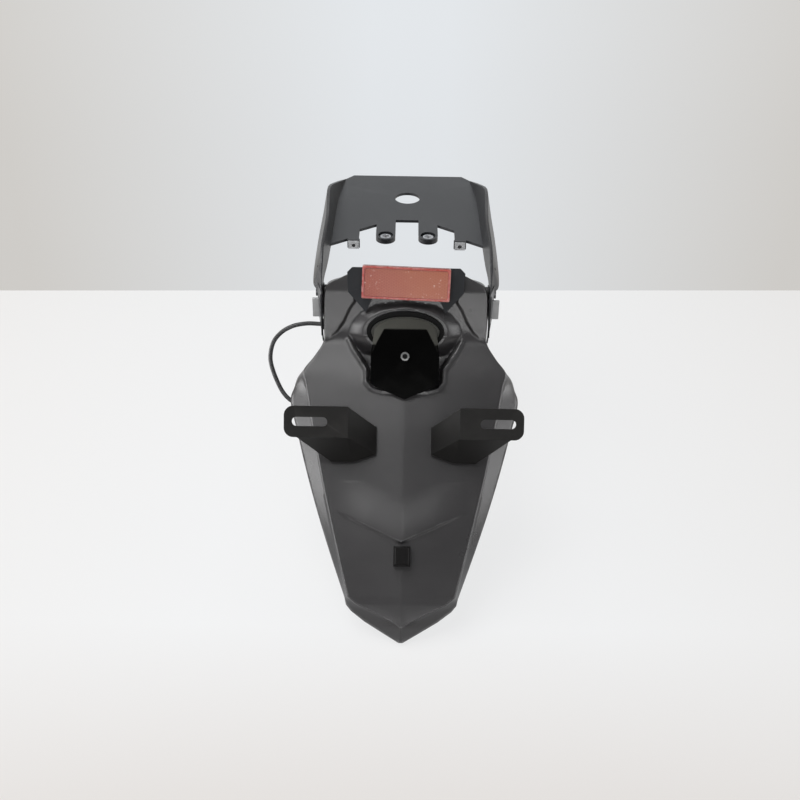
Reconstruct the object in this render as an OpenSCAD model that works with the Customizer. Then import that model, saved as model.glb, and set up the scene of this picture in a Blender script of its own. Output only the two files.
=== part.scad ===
// Tail tidy: tray, rear shell with number plate stays, lamp and reflector.
// The tray lies level, X runs across the machine and -Y runs to its rear.
// The origin lies midway between the two tail bolts, on top of their collars.

/* [Tray] */
// Distance from the tail bolts forward to the tray's front edge
tray_front = 149; // [142:1:165]
// Distance from the tail bolts back to the tray's rear edge
tray_rear = 22; // [19:1:28]
// Width of the tray's front edge
front_w = 125; // [100:1:135]
// Width of the tray floor between its side walls
floor_w = 158; // [148:1:166]
// Height of the side rims above the floor
rim_h = 25; // [15:1:32]
// Distance that each rim leans outside the floor's edge
rim_lean = 6.5; // [5:0.5:10]
// Distance that each skirt stands outside its rim
skirt_out = 11; // [8:0.5:14]
// Thickness of the tray floor
plate_t = 3; // [2.5:0.1:4]
// Thickness of the side walls and skirts
wall_t = 2.5; // [2:0.1:3]

/* [Tail bolts] */
// Distance between the two tail bolts
bolt_gap = 45; // [38:1:52]
// Clearance hole for a tail bolt
bolt_d = 6.6; // [5.4:0.1:7]
// Width of each bolt tab
tab_w = 20.6; // [19:0.2:23]
// Distance from the bolts forward to the middle notch between the tabs
notch_y = 35; // [28:0.5:40]
// Distance from the bolts forward to the tabs' outer roots
tab_root_y = 24; // [20:0.5:27]
// Diameter of the cup that each bolt head sits in
cup_d = 15.6; // [14:0.2:16]
// Depth of the cup
cup_depth = 2.8; // [2.4:0.1:4]
// Outer diameter of the collar's sleeve
collar_d = 9; // [8.4:0.1:10]
// Diameter of the collar's flange
collar_flange_d = 11.4; // [10.6:0.1:13.8]
// Thickness of the collar's flange
collar_flange_t = 1.2; // [1:0.1:1.6]

/* [Tray hole] */
// Diameter of the round hole in the tray floor
hole_d = 28; // [16:1:40]
// Distance of that hole forward of the tail bolts
hole_y = 90; // [76:0.5:105]

/* [Ears] */
// Distance between the middles of the two ears
ear_gap = 112; // [108:1:116]
// Width of an ear
ear_w = 13; // [11:0.5:14]
// Height that an ear hangs below the tray's top face
ear_h = 9.2; // [8.8:0.1:12]
// Hole in the ear for a clip nut's screw
ear_hole_d = 4.2; // [3.2:0.1:4.6]
// Thickness of the clip nut's sheet
clip_t = 0.8; // [0.6:0.1:1.2]

/* [Rear shell] */
// Width of the shell's body under the tail
body_w = 166; // [158:1:172]
// Width of the body's flat top edge
body_top_w = 120; // [110:1:128]
// Length of the body's rear face, measured down its slope
body_face = 61; // [56:1:68]
// Slope of the body's rear face from level
body_slope = 70; // [62:1:76]
// Depth of the body's side walls
body_side = 38; // [34:1:42]
// Slope of the number plate panel from level
panel_slope = 42; // [36:1:48]
// Length of the panel down its slope
panel_l = 305.5; // [290:1:320]
// Width of the panel's face at its shoulders
face_w = 205; // [190:1:214]
// Width over the panel's side skirts
skirt_w = 230; // [222:1:244]
// Width of the panel's face just above its point
tail_face_w = 105; // [90:1:110]
// Width over the skirts just above the point
tail_w = 111; // [106:1:122]
// Outward bow of the panel's long edges
edge_bow = 2.8; // [0:0.1:5]
// Height of the ridge down the panel's middle
ridge_h = 4; // [2:0.5:6]
// Depth of the panel's skirts
skirt_d = 13; // [11:0.5:16]
// Thickness of the shell
shell_t = 3; // [2.4:0.1:3.6]

/* [Arms] */
// Side play between the shell's walls and the tray's arms
arm_gap = 0.8; // [0.6:0.1:1.5]
// Thickness of the arms' foot plates
foot_t = 3; // [2.5:0.1:4]
// Clearance hole for the side bolts
side_hole_d = 6.6; // [6.3:0.1:7]
// Shank diameter of the side bolts
side_bolt_d = 6; // [5.6:0.1:6.1]
// Sheet thickness of the side clips
side_clip_t = 2; // [1.5:0.1:2.5]
// Width of the side clip's outer leaf
side_leaf_w = 6.5; // [5.5:0.5:9]
// Height of the side clip's outer leaf
side_leaf_h = 21.5; // [19:0.5:24]

/* [Reflector] */
// Width of the reflector
reflector_w = 88; // [80:1:94]
// Height of the reflector
reflector_h = 33; // [30:0.5:36]
// Depth of the reflector's lens
reflector_t = 6; // [5:0.5:8]
// Turn of the reflector in its own plane
reflector_turn = 1.8; // [0:0.1:3]
// Sheet thickness of the reflector bracket
bracket_t = 2.5; // [2:0.1:3.5]
// Width of the reflector bracket
bracket_w = 118; // [112:1:126]

/* [Lamp] */
// Width over the lamp's rubber ring
ring_w = 78; // [74:1:82]
// Height over the lamp's rubber ring
ring_h = 41; // [38:1:46]
// Width of the ring's band
ring_band = 4.5; // [3.5:0.1:5]
// Distance that the lamp hood stands out
hood_out = 26; // [22:0.5:30]
// Width of the hood's front at its top edge
hood_top_w = 42; // [36:1:48]
// Width of the hood's front at its bottom
hood_low_w = 68; // [62:1:70]
// Wall of the lamp hood
hood_t = 2.4; // [2:0.1:3]
// Diameter of the lamp screw's head
lamp_screw_d = 8.5; // [7:0.1:10]

/* [Plate stays] */
// Distance between the middles of the two slots
slot_gap = 180; // [172:1:188]
// Length of a slot from end to end
slot_l = 34; // [26:1:38]
// Width of a slot
slot_w = 9; // [6:0.5:11]
// Length of a stay's tab
tab_l = 61; // [56:1:66]
// Height of a stay's tab
stay_h = 30; // [26:1:34]
// Slope of the number plate from level
plate_slope = 60; // [55:1:66]
// Height of the tabs above the panel, square to it
stay_off = 52; // [46:1:58]
// Distance of the tabs' middles down the panel from its joint with the body
stay_t = 101.5; // [96:0.5:108]
// Sheet thickness of the stays
stay_thick = 3; // [2.5:0.1:3.5]
// Clearance hole for the screws in a stay's foot
stay_hole_d = 6.4; // [6.2:0.1:7]

/* [Plate rest] */
// Width of the rubber rest under the number plate
rest_w = 16; // [12:0.5:20]
// Length of the rest down the panel
rest_l = 19; // [16:0.5:24]
// Height of the rest
rest_h = 10; // [7:0.5:14]
// Distance of the rest up from the panel's point
rest_up = 81.5; // [72:0.5:90]

/* [Lead] */
// Diameter of the lamp's lead
lead_d = 4.4; // [4.2:0.1:4.6]

/* [Hidden] */
$fn = 48;
eps = 0.01;
// Height of the tray's top face above the origin, which lies on the collars
lift = cup_depth - collar_flange_t;
// Clearance of a part that drops into a hole
fit = 0.3;
// Point where the body's rear face meets the panel, from the tray's top face
joint_y = -105.7;
joint_z = -59.3;
half_floor = floor_w / 2;
half_body = body_w / 2;
rest_t = panel_l - rest_up;
arm_x = half_body + arm_gap;
rim_x = half_floor + rim_lean;
// Width of the cheek at the arm's rear end
cheek_w = 7.5;

// A value part of the way from a to b
function mix(a, b, f) = a + (b - a) * f;
// A point on a smooth curve between b and c, at the share f
function bend(a, b, c, d, f) =
  0.5 * (2 * b + (c - a) * f + (2 * a - 5 * b + 4 * c - d) * f * f + (3 * b - a - 3 * c + d) * f * f * f);
// Rows of numbers with n smooth steps put between each two
function smooth(rows, n) = [
  for (i = [0:len(rows) - 2], k = [0:n - 1])
    bend(rows[max(i - 1, 0)], rows[i], rows[i + 1], rows[min(i + 2, len(rows) - 1)], k / n),
  rows[len(rows) - 1]
];

// A closed solid through equal rings of points. Each ring runs out along one
// side of a section and back along the other, so that its ends close in pairs.
module loft(rings) {
  n = len(rings[0]);
  last = (len(rings) - 1) * n;
  sides = [
    for (r = [0:len(rings) - 2], i = [0:n - 1])
      let (a = r * n + i, b = r * n + (i + 1) % n)
        each [[a, b, b + n], [a, b + n, a + n]]
  ];
  caps = [
    for (i = [0:n / 2 - 2])
      let (j = n - 1 - i)
        each [
          [i + 1, i, j], [i + 1, j, j - 1],
          [last + i, last + i + 1, last + j], [last + i + 1, last + j - 1, last + j]
        ]
  ];
  polyhedron(points = [for (ring = rings) each ring], faces = concat(sides, caps), convexity = 8);
}

// Lifts what is drawn from the tray's top face to the origin's height
module lifted() {
  translate([0, 0, lift]) children();
}

// Places children on the body's rear face, Y up the slope and Z outward
module on_face() {
  lifted() translate([0, joint_y, joint_z]) rotate([body_slope, 0, 0]) children();
}

// Places children on the panel, Y up the slope and Z outward
module on_panel() {
  lifted() translate([0, joint_y, joint_z]) rotate([panel_slope, 0, 0]) children();
}

// Both sides of the machine, or one of them
module on_side(side) {
  mirror([side < 0 ? 1 : 0, 0, 0]) children();
}

// A cylinder along X from x0 to x1
module rod_x(x0, x1, d) {
  translate([x0, 0, 0]) rotate([0, 90, 0]) cylinder(h = x1 - x0, d = d);
}

// Rows along one side of the tray, from its front corner back to the arm's end.
// Each holds y, the floor edge's x and z, the rim's x and z, the skirt foot's x and z.
lane_rows = [
  [tray_front - 11, half_floor - 8, -plate_t, half_floor - 7.2, 0.3, half_floor - 5.6, -plate_t],
  [tray_front - 24, half_floor - 6, -plate_t, half_floor - 4, 0.2 * rim_h, half_floor, -plate_t],
  [tray_front - 49, half_floor - 3.3, -plate_t, half_floor + 1.5, 0.56 * rim_h, half_floor + 9, -plate_t],
  [tray_front - 84, half_floor - 2, -plate_t, rim_x, rim_h, rim_x + 0.5 * skirt_out, -plate_t],
  [30, half_floor - 1, -plate_t, rim_x - 1, rim_h, rim_x + 0.7 * skirt_out, -5],
  [-10, half_floor, -plate_t, rim_x - 2.3, rim_h - 1, rim_x + 0.8 * skirt_out, -8],
  [-50, half_floor + 2, -8, arm_x + 1.5, rim_h - 9, rim_x + skirt_out - 1.5, -13],
  [-69, arm_x - 0.8, -12, arm_x + 1.6, 7, rim_x + skirt_out - 1.7, -18],
  [-75, arm_x - 0.1, -16, arm_x + 1.8, 2, rim_x + skirt_out - 3, -21],
  [-80, arm_x + 0.1, -21, arm_x + 1.8, -3, arm_x + 0.84 * cheek_w, -24],
  [-99, arm_x + 0.2, -36, arm_x + 1.2, -20, arm_x + 1.9, -37]
];
side_points = [[-70, -29], [-75, -45]];
side_r = 8.5;
// Rear face and top of the side clip's leaf
leaf_y = side_points[1][0] - side_r + 1;
leaf_z = -31;
// Middle of the grommet in the shell's left wall, and its hole
grommet_at = [-80, -88, -58];
grommet_d = 9;
ear_t = 3;
ear_y = -10;
ear_hole_z = -6.1;

function lane_ring(row) =
  let (
    t = min(wall_t, 0.3 * (row[5] - row[1])),
    inner_z = max(row[4] - 1.6 * t, max(row[2], row[6]) + 0.3)
  ) [
    [row[1], row[0], row[2]], [row[3] - 0.5 * t, row[0], row[4] - 0.35 * t],
    [row[3], row[0], row[4]], [row[3] + 0.7 * t, row[0], row[4] - 0.3 * t], [row[5], row[0], row[6]],
    [row[5] - t, row[0], row[6]], [row[3] + 0.6 * t, row[0], inner_z - 0.2 * t],
    [row[3] + 0.45 * t, row[0], inner_z], [row[3] + 0.3 * t, row[0], inner_z - 0.2 * t],
    [row[1] + t, row[0], row[2]]
  ];

module tray_lane() {
  loft([for (row = smooth(lane_rows, 3)) lane_ring(row)]);
}

module half_tray_floor() {
  in_x = bolt_gap / 2 - tab_w / 2;
  out_x = bolt_gap / 2 + tab_w / 2;
  step_x = ear_gap / 2 - ear_w / 2 + 1;
  polygon([
    [-eps, notch_y], [in_x, notch_y], [in_x, 0], [out_x, 0], [out_x, tab_root_y],
    [step_x, tab_root_y - 12], [step_x, ear_y], [ear_gap / 2 + ear_w / 2, ear_y],
    [half_floor + 1, -tray_rear], [half_floor + 1, -10], [half_floor, 30],
    for (i = [3:-1:0]) [lane_rows[i][1] + 1, lane_rows[i][0]],
    [front_w / 2, tray_front], [-eps, tray_front]
  ]);
}

module half_tray() {
  tray_lane();
  translate([0, 0, -plate_t]) linear_extrude(plate_t) half_tray_floor();
  translate([bolt_gap / 2, 0, -cup_depth - plate_t]) cylinder(h = cup_depth + plate_t, d = tab_w);
  translate([ear_gap / 2 - ear_w / 2, ear_y - ear_t, -ear_h]) cube([ear_w, ear_t, ear_h]);
  translate([arm_x, 0, 0]) rotate([90, 0, 90]) linear_extrude(foot_t) hull()
    for (p = side_points) translate(p) circle(side_r);
  arm_cheek();
}

// Cheek at the arm's rear end, which runs down beside the body to a point.
// Each row holds z, the rear edge's y, the front edge's y and the front edge's distance outside the arm.
cheek_rows = [
  [-15, -99, -78, 0.8 * cheek_w], [-23, -99.5, -73, cheek_w], [-38, -99.5, -73, cheek_w],
  [-48, -99.5, -75, 0.86 * cheek_w], [-58, -99, -79, 0.66 * cheek_w], [-67, -98, -86, 0.4 * cheek_w],
  [-73, -97, -92, 0.25 * cheek_w]
];
module arm_cheek() {
  loft([
    for (row = cheek_rows) [
      [arm_x + 0.1, row[1] + 1.2, row[0]], [arm_x + 0.9, row[1], row[0]],
      [arm_x + row[3], row[2], row[0]], [arm_x + row[3] - 1.8, row[2] + 0.2, row[0]]
    ]
  ]);
  translate([arm_x + 0.15, 0, 0]) rotate([90, 0, 90]) linear_extrude(foot_t - 1) polygon([
    [-98, -18], [-70, -24], [-74, -46], [-84, -49], [-92, -49], [-95.5, -54], [-96, -66], [-97.5, -66]
  ]);
}

module half_tray_holes() {
  translate([bolt_gap / 2, 0, -cup_depth]) cylinder(h = cup_depth + 1, d = cup_d);
  translate([bolt_gap / 2, 0, -cup_depth - plate_t - 1]) cylinder(h = plate_t + 2, d = collar_d + 2 * fit);
  translate([ear_gap / 2, ear_y + 2, ear_hole_z]) rotate([90, 0, 0]) cylinder(h = ear_t + 4, d = ear_hole_d);
  for (p = side_points) translate([0, p[0], p[1]]) rod_x(arm_x - 1, arm_x + foot_t + 1, side_hole_d);
  translate([0, -68, -2]) rod_x(rim_x + 1, rim_x + skirt_out + 4, 3);
  translate([0, grommet_at[1], grommet_at[2]]) {
    rod_x(arm_x + 1, arm_x + cheek_w + 4, lead_d + 2.4);
    rod_x(arm_x - 1, arm_x + 2.2, grommet_d + 3);
  }
}

// Room outside the foot plate for the side clip and its leaf
module side_clip_room() {
  translate([arm_x + foot_t, 0, 0]) rotate([90, 0, 90]) linear_extrude(30) hull()
    for (p = side_points) translate(p) circle(side_r - 1 + fit);
  translate([arm_x + foot_t, leaf_y - fit, leaf_z - side_leaf_h - 1])
    cube([30, side_clip_t + 2 * fit, side_leaf_h + 2]);
}

module upper_tray() {
  color("#2f3033") lifted() difference() {
    for (side = [-1, 1]) on_side(side) half_tray();
    for (side = [-1, 1]) on_side(side) {
      half_tray_holes();
      side_clip_room();
    }
    translate([0, hole_y, -plate_t - 1]) cylinder(h = plate_t + 2, d = hole_d);
  }
}

module tail_collar(side) {
  color("#b9bbbd") lifted() translate([side * bolt_gap / 2, 0, -cup_depth - plate_t]) difference() {
    union() {
      cylinder(h = plate_t + collar_flange_t, d = collar_d);
      translate([0, 0, plate_t]) cylinder(h = collar_flange_t, d = collar_flange_d);
    }
    translate([0, 0, -1]) cylinder(h = plate_t + collar_flange_t + 2, d = bolt_d);
  }
}

// A folded sheet nut that straddles the ear's lower edge
module clip_nut(side) {
  w = ear_w - 2;
  back = ear_t + fit;
  barrel_d = min(ear_hole_d + 2.4, 2 * (-plate_t - 0.3 - ear_hole_z));
  color("#c3c5c6") lifted() translate([side * ear_gap / 2, ear_y - ear_t, 0]) difference() {
    union() {
      translate([-w / 2, -clip_t, -ear_h - clip_t]) cube([w, clip_t, ear_h + clip_t - 1]);
      translate([-w / 2, -clip_t, -ear_h - clip_t]) cube([w, back + 2 * clip_t, clip_t]);
      translate([-w / 2, back, -ear_h - clip_t]) cube([w, clip_t, ear_h + clip_t - plate_t - 0.3]);
      translate([0, back, ear_hole_z]) rotate([-90, 0, 0]) cylinder(h = 4, d = barrel_d);
    }
    translate([0, -2, ear_hole_z]) rotate([-90, 0, 0]) cylinder(h = back + 10, d = ear_hole_d);
  }
}

// A point on the body's rear face, s up from its joint with the panel
function face_yz(s) = [joint_y + s * cos(body_slope), joint_z + s * sin(body_slope)];
// A point on the panel, t down from that joint
function panel_yz(t) = [joint_y - t * cos(panel_slope), joint_z - t * sin(panel_slope)];

shoulder_t = 38;
flare_t = 68;
point_t = panel_l - 43;
half_face = face_w / 2;
half_skirt = skirt_w / 2;
half_tail = tail_w / 2;
half_tail_face = tail_face_w / 2;
top_half = body_top_w / 2;
tip_drop = skirt_d - 1;

// Half width of the panel's face and of its skirts at t down the panel
function face_half(t) =
  let (f = (t - shoulder_t) / (point_t - shoulder_t))
    mix(half_face, half_tail_face, f) + edge_bow * sin(180 * f);
function skirt_half(t) =
  let (f = (t - flare_t) / (point_t - flare_t))
    mix(half_skirt, half_tail, f) + 1.3 * edge_bow * sin(180 * f);

// Rows down the shell: y, z, slope, face half width, skirt half width,
// drop of the face's edge, drop of the skirt's foot, ridge
body_rows = [
  [each face_yz(body_face) + [5, -1.2], 25, top_half - 3, top_half - 3, 0, shell_t + 0.6, 0],
  [each face_yz(body_face) + [1, 0], 48, top_half, top_half, 0, shell_t + 2, 0],
  [each face_yz(body_face - 4), 67, top_half + 8, top_half + 8, 0, 9, 0],
  [each face_yz(body_face - 9), body_slope, half_body - 5.5, half_body - 5.5, 0, 16, 0],
  [each face_yz(body_face - 15), body_slope, half_body - 1.5, half_body - 1.5, 0, 24, 0],
  [each face_yz(body_face - 25), body_slope, half_body, half_body, 0, body_side, 0],
  [each face_yz(body_face - 43), body_slope, half_body, half_body, 0, body_side, 0],
  [each face_yz(5), body_slope - 2, half_body - 0.3, half_body, 0, body_side, 0],
  [each panel_yz(4), mix(panel_slope, body_slope, 0.3), half_body - 0.5, half_body, 0, 0.95 * body_side, 0.5],
  [each panel_yz(12), panel_slope, mix(half_body, half_face, 0.1), mix(half_body, half_face, 0.16), 0, 32, 1],
  [
    each panel_yz(24), panel_slope, mix(half_body, half_face, 0.5), mix(half_body, half_face, 0.62),
    0, 25, 0.5 * ridge_h
  ],
  [each panel_yz(shoulder_t), panel_slope, half_face, mix(half_face, half_skirt, 0.4), 0, 18, 0.8 * ridge_h],
  [each panel_yz(52), panel_slope, face_half(52), mix(half_face, half_skirt, 0.76), 0, skirt_d + 2, ridge_h],
  for (t = [flare_t, 100, 140, 180, 220, point_t])
    [each panel_yz(t), panel_slope, face_half(t), skirt_half(t), 0, skirt_d, ridge_h]
];
tip_rows = [
  for (tip = [[36, 0.84, 0.97, 0.9], [30, 0.6, 0.88, 0.7], [20, 0.22, 0.64, 0.3]])
    [
      each panel_yz(panel_l - tip[0]), panel_slope, tip[1] * half_tail_face, tip[2] * half_tail,
      0, skirt_d, tip[3] * ridge_h
    ],
  [each panel_yz(panel_l - 14), panel_slope, 1.2, 0.46 * half_tail, 0, skirt_d, 0],
  [each panel_yz(panel_l - 7), panel_slope, 1.2, 0.25 * half_tail, tip_drop / 2, skirt_d + 1, 0],
  [each panel_yz(panel_l), panel_slope, 1.2, 2, tip_drop, skirt_d + shell_t, 0]
];

function inset(x) = max(x - shell_t, 0.3 * x);
// Half of the shell's section, out along its outside and back along its inside
function shell_half(w, wo, d0, d, ridge) =
  let (
    e = min(4, 0.3 * w, 0.4 * (d - d0)),
    flat = max(inset(w) - 0.4 * e, 0.2 * w),
    deep = d0 + shell_t
  ) [
    for (f = [0, 0.3, 0.6, 0.85, 1]) [f * (w - e), d0 - ridge * (1 - f)],
    [w - 0.3 * e, d0 + 0.25 * e], [w, d0 + e], [wo, d],
    [inset(wo), d], [inset(w), mix(deep, d, 0.3)], [mix(flat, inset(w), 0.7), mix(deep, d, 0.08)],
    for (f = [1, 0.85, 0.6, 0.3, 0]) [f * flat, deep - ridge * (1 - f)]
  ];
function shell_ring(row) =
  let (half = shell_half(row[3], row[4], row[5], row[6], row[7]))
    [
      for (p = concat([for (i = [7:-1:1]) [-half[i][0], half[i][1]]], [for (i = [0:14]) half[i]],
                      [for (i = [15:-1:8]) [-half[i][0], half[i][1]]]))
        [p[0], row[0] + sin(row[2]) * p[1], row[1] - cos(row[2]) * p[1]]
    ];

module shell_skin() {
  loft([for (row = concat(smooth(body_rows, 2), tip_rows)) shell_ring(row)]);
}

// The opening that the lamp stands in, cut in the panel's top end
module well_outline(grow) {
  offset(delta = grow) polygon([
    [-60, 6], [-51.5, -14.7], [-38, -36], [-38, -49], [-33, -56], [-22, -59],
    [22, -59], [33, -56], [38, -49], [38, -36], [51.5, -14.7], [60, 6]
  ]);
}

// The tub under that opening: its mouth on the panel, its back on the face's plane
module well_tub(grow, over) {
  hull() {
    lifted() translate([0, joint_y, joint_z]) rotate([panel_slope, 0, 0])
      translate([0, 0, -grow]) linear_extrude(0.5 + over) well_outline(grow);
    on_face() translate([-36 - grow, -27 - grow, -grow]) cube([72 + 2 * grow, 27, 1]);
  }
}

pad_h = 8;
ring_y = 6;
lamp_hole_d = 24;
// Seats of the two stays' feet and of the plate rest, above the panel's datum
seat_h = 0.75 * ridge_h + 0.2;
rest_seat_h = ridge_h + 0.2;
stay_screw_points = [[45, 105], [61, 119]];
bracket_seat = 2;
reflector_y = 55;
stud_x = 24;
stud_d = 4;
stud_hole_d = stud_d + 0.4;
boss_d = 15;
stem_d = 8;

module ellipse(w, h) {
  scale([1, h / w]) circle(d = w);
}

// The rounded neck that carries the lamp
module lamp_neck() {
  on_face() hull() {
    translate([0, ring_y, 0]) linear_extrude(pad_h) ellipse(ring_w + 7, ring_h + 6);
    translate([0, 0, -0.6]) linear_extrude(1.5)
      polygon([[-40, -18], [-55, -6], [-59, 3], [-49, 18.5], [49, 18.5], [59, 3], [55, -6], [40, -18]]);
  }
}

// The raised chevron across the panel above the plate rest
module chevron() {
  on_panel() for (side = [-1, 1]) on_side(side) hull() {
    translate([-eps, 14 - rest_t, 0]) cube([0.5, 3, ridge_h + 0.9]);
    translate([face_half(rest_t - 43) - 8, 43 - rest_t, 0]) cube([0.5, 3, 0.2 * ridge_h + 0.4]);
  }
}

// Pad behind the panel that the lead's connector sits against
module connector_pad() {
  last = lead_route[len(lead_route) - 1];
  lifted() intersection() {
    translate(last) rotate([panel_slope, 0, 0])
      translate([5, -4, connector_size[2] / 2]) cube([14, 8, 12]);
    translate([0, joint_y, joint_z]) rotate([panel_slope, 0, 0])
      translate([-100, -150, -20]) cube([100, 150, 19]);
  }
}

module rear_shell() {
  color("#3b3b3e") difference() {
    union() {
      difference() {
        union() {
          lifted() shell_skin();
          well_tub(shell_t, 0);
        }
        well_tub(0, 9);
      }
      lamp_neck();
      chevron();
      for (side = [-1, 1]) {
        on_panel() for (p = stay_screw_points)
          translate([side * p[0], -p[1], -shell_t - 1]) cylinder(h = seat_h + shell_t + 1, d = boss_d);
        on_face() translate([side * stud_x, reflector_y, -shell_t - 1])
          cylinder(h = shell_t + 1 + bracket_seat - eps, d = boss_d);
        lifted() for (p = side_points)
          on_side(side) translate([0, p[0], p[1]]) rod_x(half_body - 9, arm_x - 2 * eps, 2 * side_r - 4);
      }
      on_panel() translate([0, -rest_t, -shell_t]) cylinder(h = shell_t + rest_seat_h, d = 12);
      connector_pad();
    }
    for (side = [-1, 1]) {
      on_panel() for (p = stay_screw_points)
        translate([side * p[0], -p[1], -shell_t - 5]) cylinder(h = 20, d = stay_hole_d);
      on_face() translate([side * stud_x, reflector_y, -shell_t - 5]) cylinder(h = 20, d = stud_hole_d);
      lifted() for (p = side_points)
        on_side(side) translate([0, p[0], p[1]]) rod_x(half_body - 12, arm_x + 1, side_hole_d);
    }
    lifted() translate([0, grommet_at[1], grommet_at[2]]) rod_x(-half_body - 3, 7 - half_body, grommet_d);
    on_panel() translate([0, -rest_t, -shell_t - 2]) cylinder(h = 20, d = stem_d + 2 * fit);
    on_face() translate([0, ring_y, -20]) cylinder(h = 40, d = lamp_hole_d);
  }
}

// Height of the side bolts' heads
head_h = 3.2;
// Steel lug bolted to the outside of an arm, with a leaf facing rearward
module side_clip(side) {
  color("#a9abad") lifted() on_side(side) translate([arm_x + foot_t, 0, 0]) difference() {
    union() {
      rotate([90, 0, 90]) linear_extrude(side_clip_t) hull()
        for (p = side_points) translate(p) circle(side_r - 1);
      translate([0, leaf_y, leaf_z - side_leaf_h])
        cube([side_clip_t + side_leaf_w, side_clip_t, side_leaf_h]);
      translate([0, leaf_y, side_points[1][1] - 3.5]) cube([side_clip_t, 4, 7]);
    }
    for (p = side_points) translate([0, p[0], p[1]]) rod_x(-1, side_clip_t + 1, side_hole_d);
  }
}

module side_bolts(side) {
  color("#6f7174") lifted() on_side(side) for (p = side_points) translate([0, p[0], p[1]]) {
    rod_x(half_body - 15, arm_x + foot_t + side_clip_t + eps, side_bolt_d);
    translate([arm_x + foot_t + side_clip_t, 0, 0]) difference() {
      rod_x(0, head_h, 11);
      translate([head_h - 2, 0, 0]) rotate([0, 90, 0]) cylinder(h = 3, d = 4.6, $fn = 6);
    }
  }
}

module side_nuts(side) {
  color("#8d8f91") lifted() on_side(side) for (p = side_points)
    translate([half_body - 14, p[0], p[1]]) difference() {
      union() {
        rotate([0, 90, 0]) cylinder(h = 5, d = 10.5, $fn = 6);
        rod_x(3.5, 5, 12);
      }
      rod_x(-1, 6, side_bolt_d + 0.05);
    }
}

module reflector_bracket() {
  w = bracket_w / 2;
  top = reflector_y + reflector_h / 2 - 2;
  color("#2b2e31") on_face() translate([0, 0, bracket_seat]) difference() {
    linear_extrude(bracket_t) polygon([
      [w - 5, top], [w, top - 5], [w - 1, top - 25], [40, 24], [34, 38],
      [-34, 38], [-40, 24], [1 - w, top - 25], [-w, top - 5], [5 - w, top]
    ]);
    for (side = [-1, 1]) translate([side * stud_x, reflector_y, -1])
      cylinder(h = bracket_t + 2, d = stud_hole_d);
  }
}

tray_depth = 3;
module on_reflector() {
  on_face() translate([0, reflector_y, bracket_seat + bracket_t]) rotate([0, 0, -reflector_turn]) children();
}

// Dark back of the reflector, with two studs through the bracket and the shell
stud_l = bracket_t + bracket_seat + shell_t + 6;
module reflector_base() {
  color("#4a1411") on_reflector() {
    translate([1 - reflector_w / 2, 1 - reflector_h / 2, 0])
      cube([reflector_w - 2, reflector_h - 2, tray_depth]);
    rotate([0, 0, reflector_turn]) for (side = [-1, 1])
      translate([side * stud_x, 0, -stud_l]) cylinder(h = stud_l + eps, d = stud_d);
  }
}

nut_h = 4.2;
// Nuts on the reflector's studs, behind the shell
module reflector_nuts() {
  color("#8d8f91") on_face() for (side = [-1, 1])
    translate([side * stud_x, reflector_y, -shell_t - 1 - nut_h - eps]) difference() {
      union() {
        cylinder(h = nut_h, d = 8.1, $fn = 6);
        translate([0, 0, nut_h - 1]) cylinder(h = 1, d = 9);
      }
      translate([0, 0, -1]) cylinder(h = nut_h + 2, d = stud_d + 0.05);
    }
}

module reflector_lens() {
  color("#c4573d") on_reflector() difference() {
    translate([-reflector_w / 2, -reflector_h / 2, tray_depth - 1.5])
      cube([reflector_w, reflector_h, reflector_t + 1.5]);
    translate([-reflector_w / 2 + 0.9, -reflector_h / 2 + 0.9, tray_depth - 2.5])
      cube([reflector_w - 1.8, reflector_h - 1.8, 2.5]);
    translate([-reflector_w / 2 + 3.5, -reflector_h / 2 + 3.5, tray_depth + reflector_t - 0.7])
      cube([reflector_w - 7, reflector_h - 7, 2]);
  }
}

base_t = 4;
// Height of the lamp's circuit board above the body's face
board_z = pad_h + base_t + 2.2;
module lamp_gasket() {
  color("#131313") on_face() translate([0, ring_y, pad_h]) linear_extrude(base_t) difference() {
    ellipse(ring_w, ring_h);
    ellipse(ring_w - 2 * ring_band, ring_h - 2 * ring_band);
  }
}

// Frame of the hood's front: origin at the middle of its top edge, Z outward
module on_hood() {
  on_face() translate([0, hood_edge_y, hood_out]) rotate([-hood_lean, 0, 0]) children();
}
hood_lean = 10;
hood_edge_y = 11;
hood_drop = 69;
screw_y = -26;

module lamp_base() {
  w = ring_w - 2 * ring_band - 2 * fit;
  h = ring_h - 2 * ring_band - 2 * fit;
  color("#3d3e38") difference() {
    union() {
      on_face() translate([0, ring_y, pad_h]) linear_extrude(base_t + 1) ellipse(w, h);
      on_face() translate([0, ring_y, -6]) cylinder(h = pad_h + 6 + eps, d = lamp_hole_d - 2 * fit);
      on_face() translate([-17, -21, board_z - 2]) cube([34, 30, 2]);
      on_hood() translate([0, screw_y, -hood_t - fit - 15]) cylinder(h = 15, d = 8);
    }
    on_face() translate([0, ring_y, -7]) cylinder(h = pad_h + base_t + 8, d = lead_d + 2 * fit);
    on_hood() translate([0, screw_y, -hood_t - 14]) cylinder(h = 20, d = 4);
  }
}

module hood_front(shrink) {
  a = hood_top_w / 2 - shrink;
  b = hood_low_w / 2 - shrink;
  on_hood() translate([0, 0, -shrink - 1]) linear_extrude(1)
    polygon([
      [-a, -shrink], [a, -shrink], [a + 4.5, -13], [b - 2, -21], [b, -25], [b, -53], [b - 5, -57],
      [0, shrink / 2 - hood_drop], [5 - b, -57], [-b, -53], [-b, -25], [2 - b, -21], [-a - 4.5, -13]
    ]);
}

module hood_back(shrink) {
  w = ring_w - 2 * ring_band - 6 - 2 * shrink;
  on_face() translate([0, 0, pad_h + base_t + 1]) linear_extrude(1) {
    translate([0, ring_y, 0]) ellipse(w, ring_h - 2 * ring_band - 3 - 2 * shrink);
    translate([-w / 2 + 1, -24]) square([w - 2, 30]);
  }
}

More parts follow.
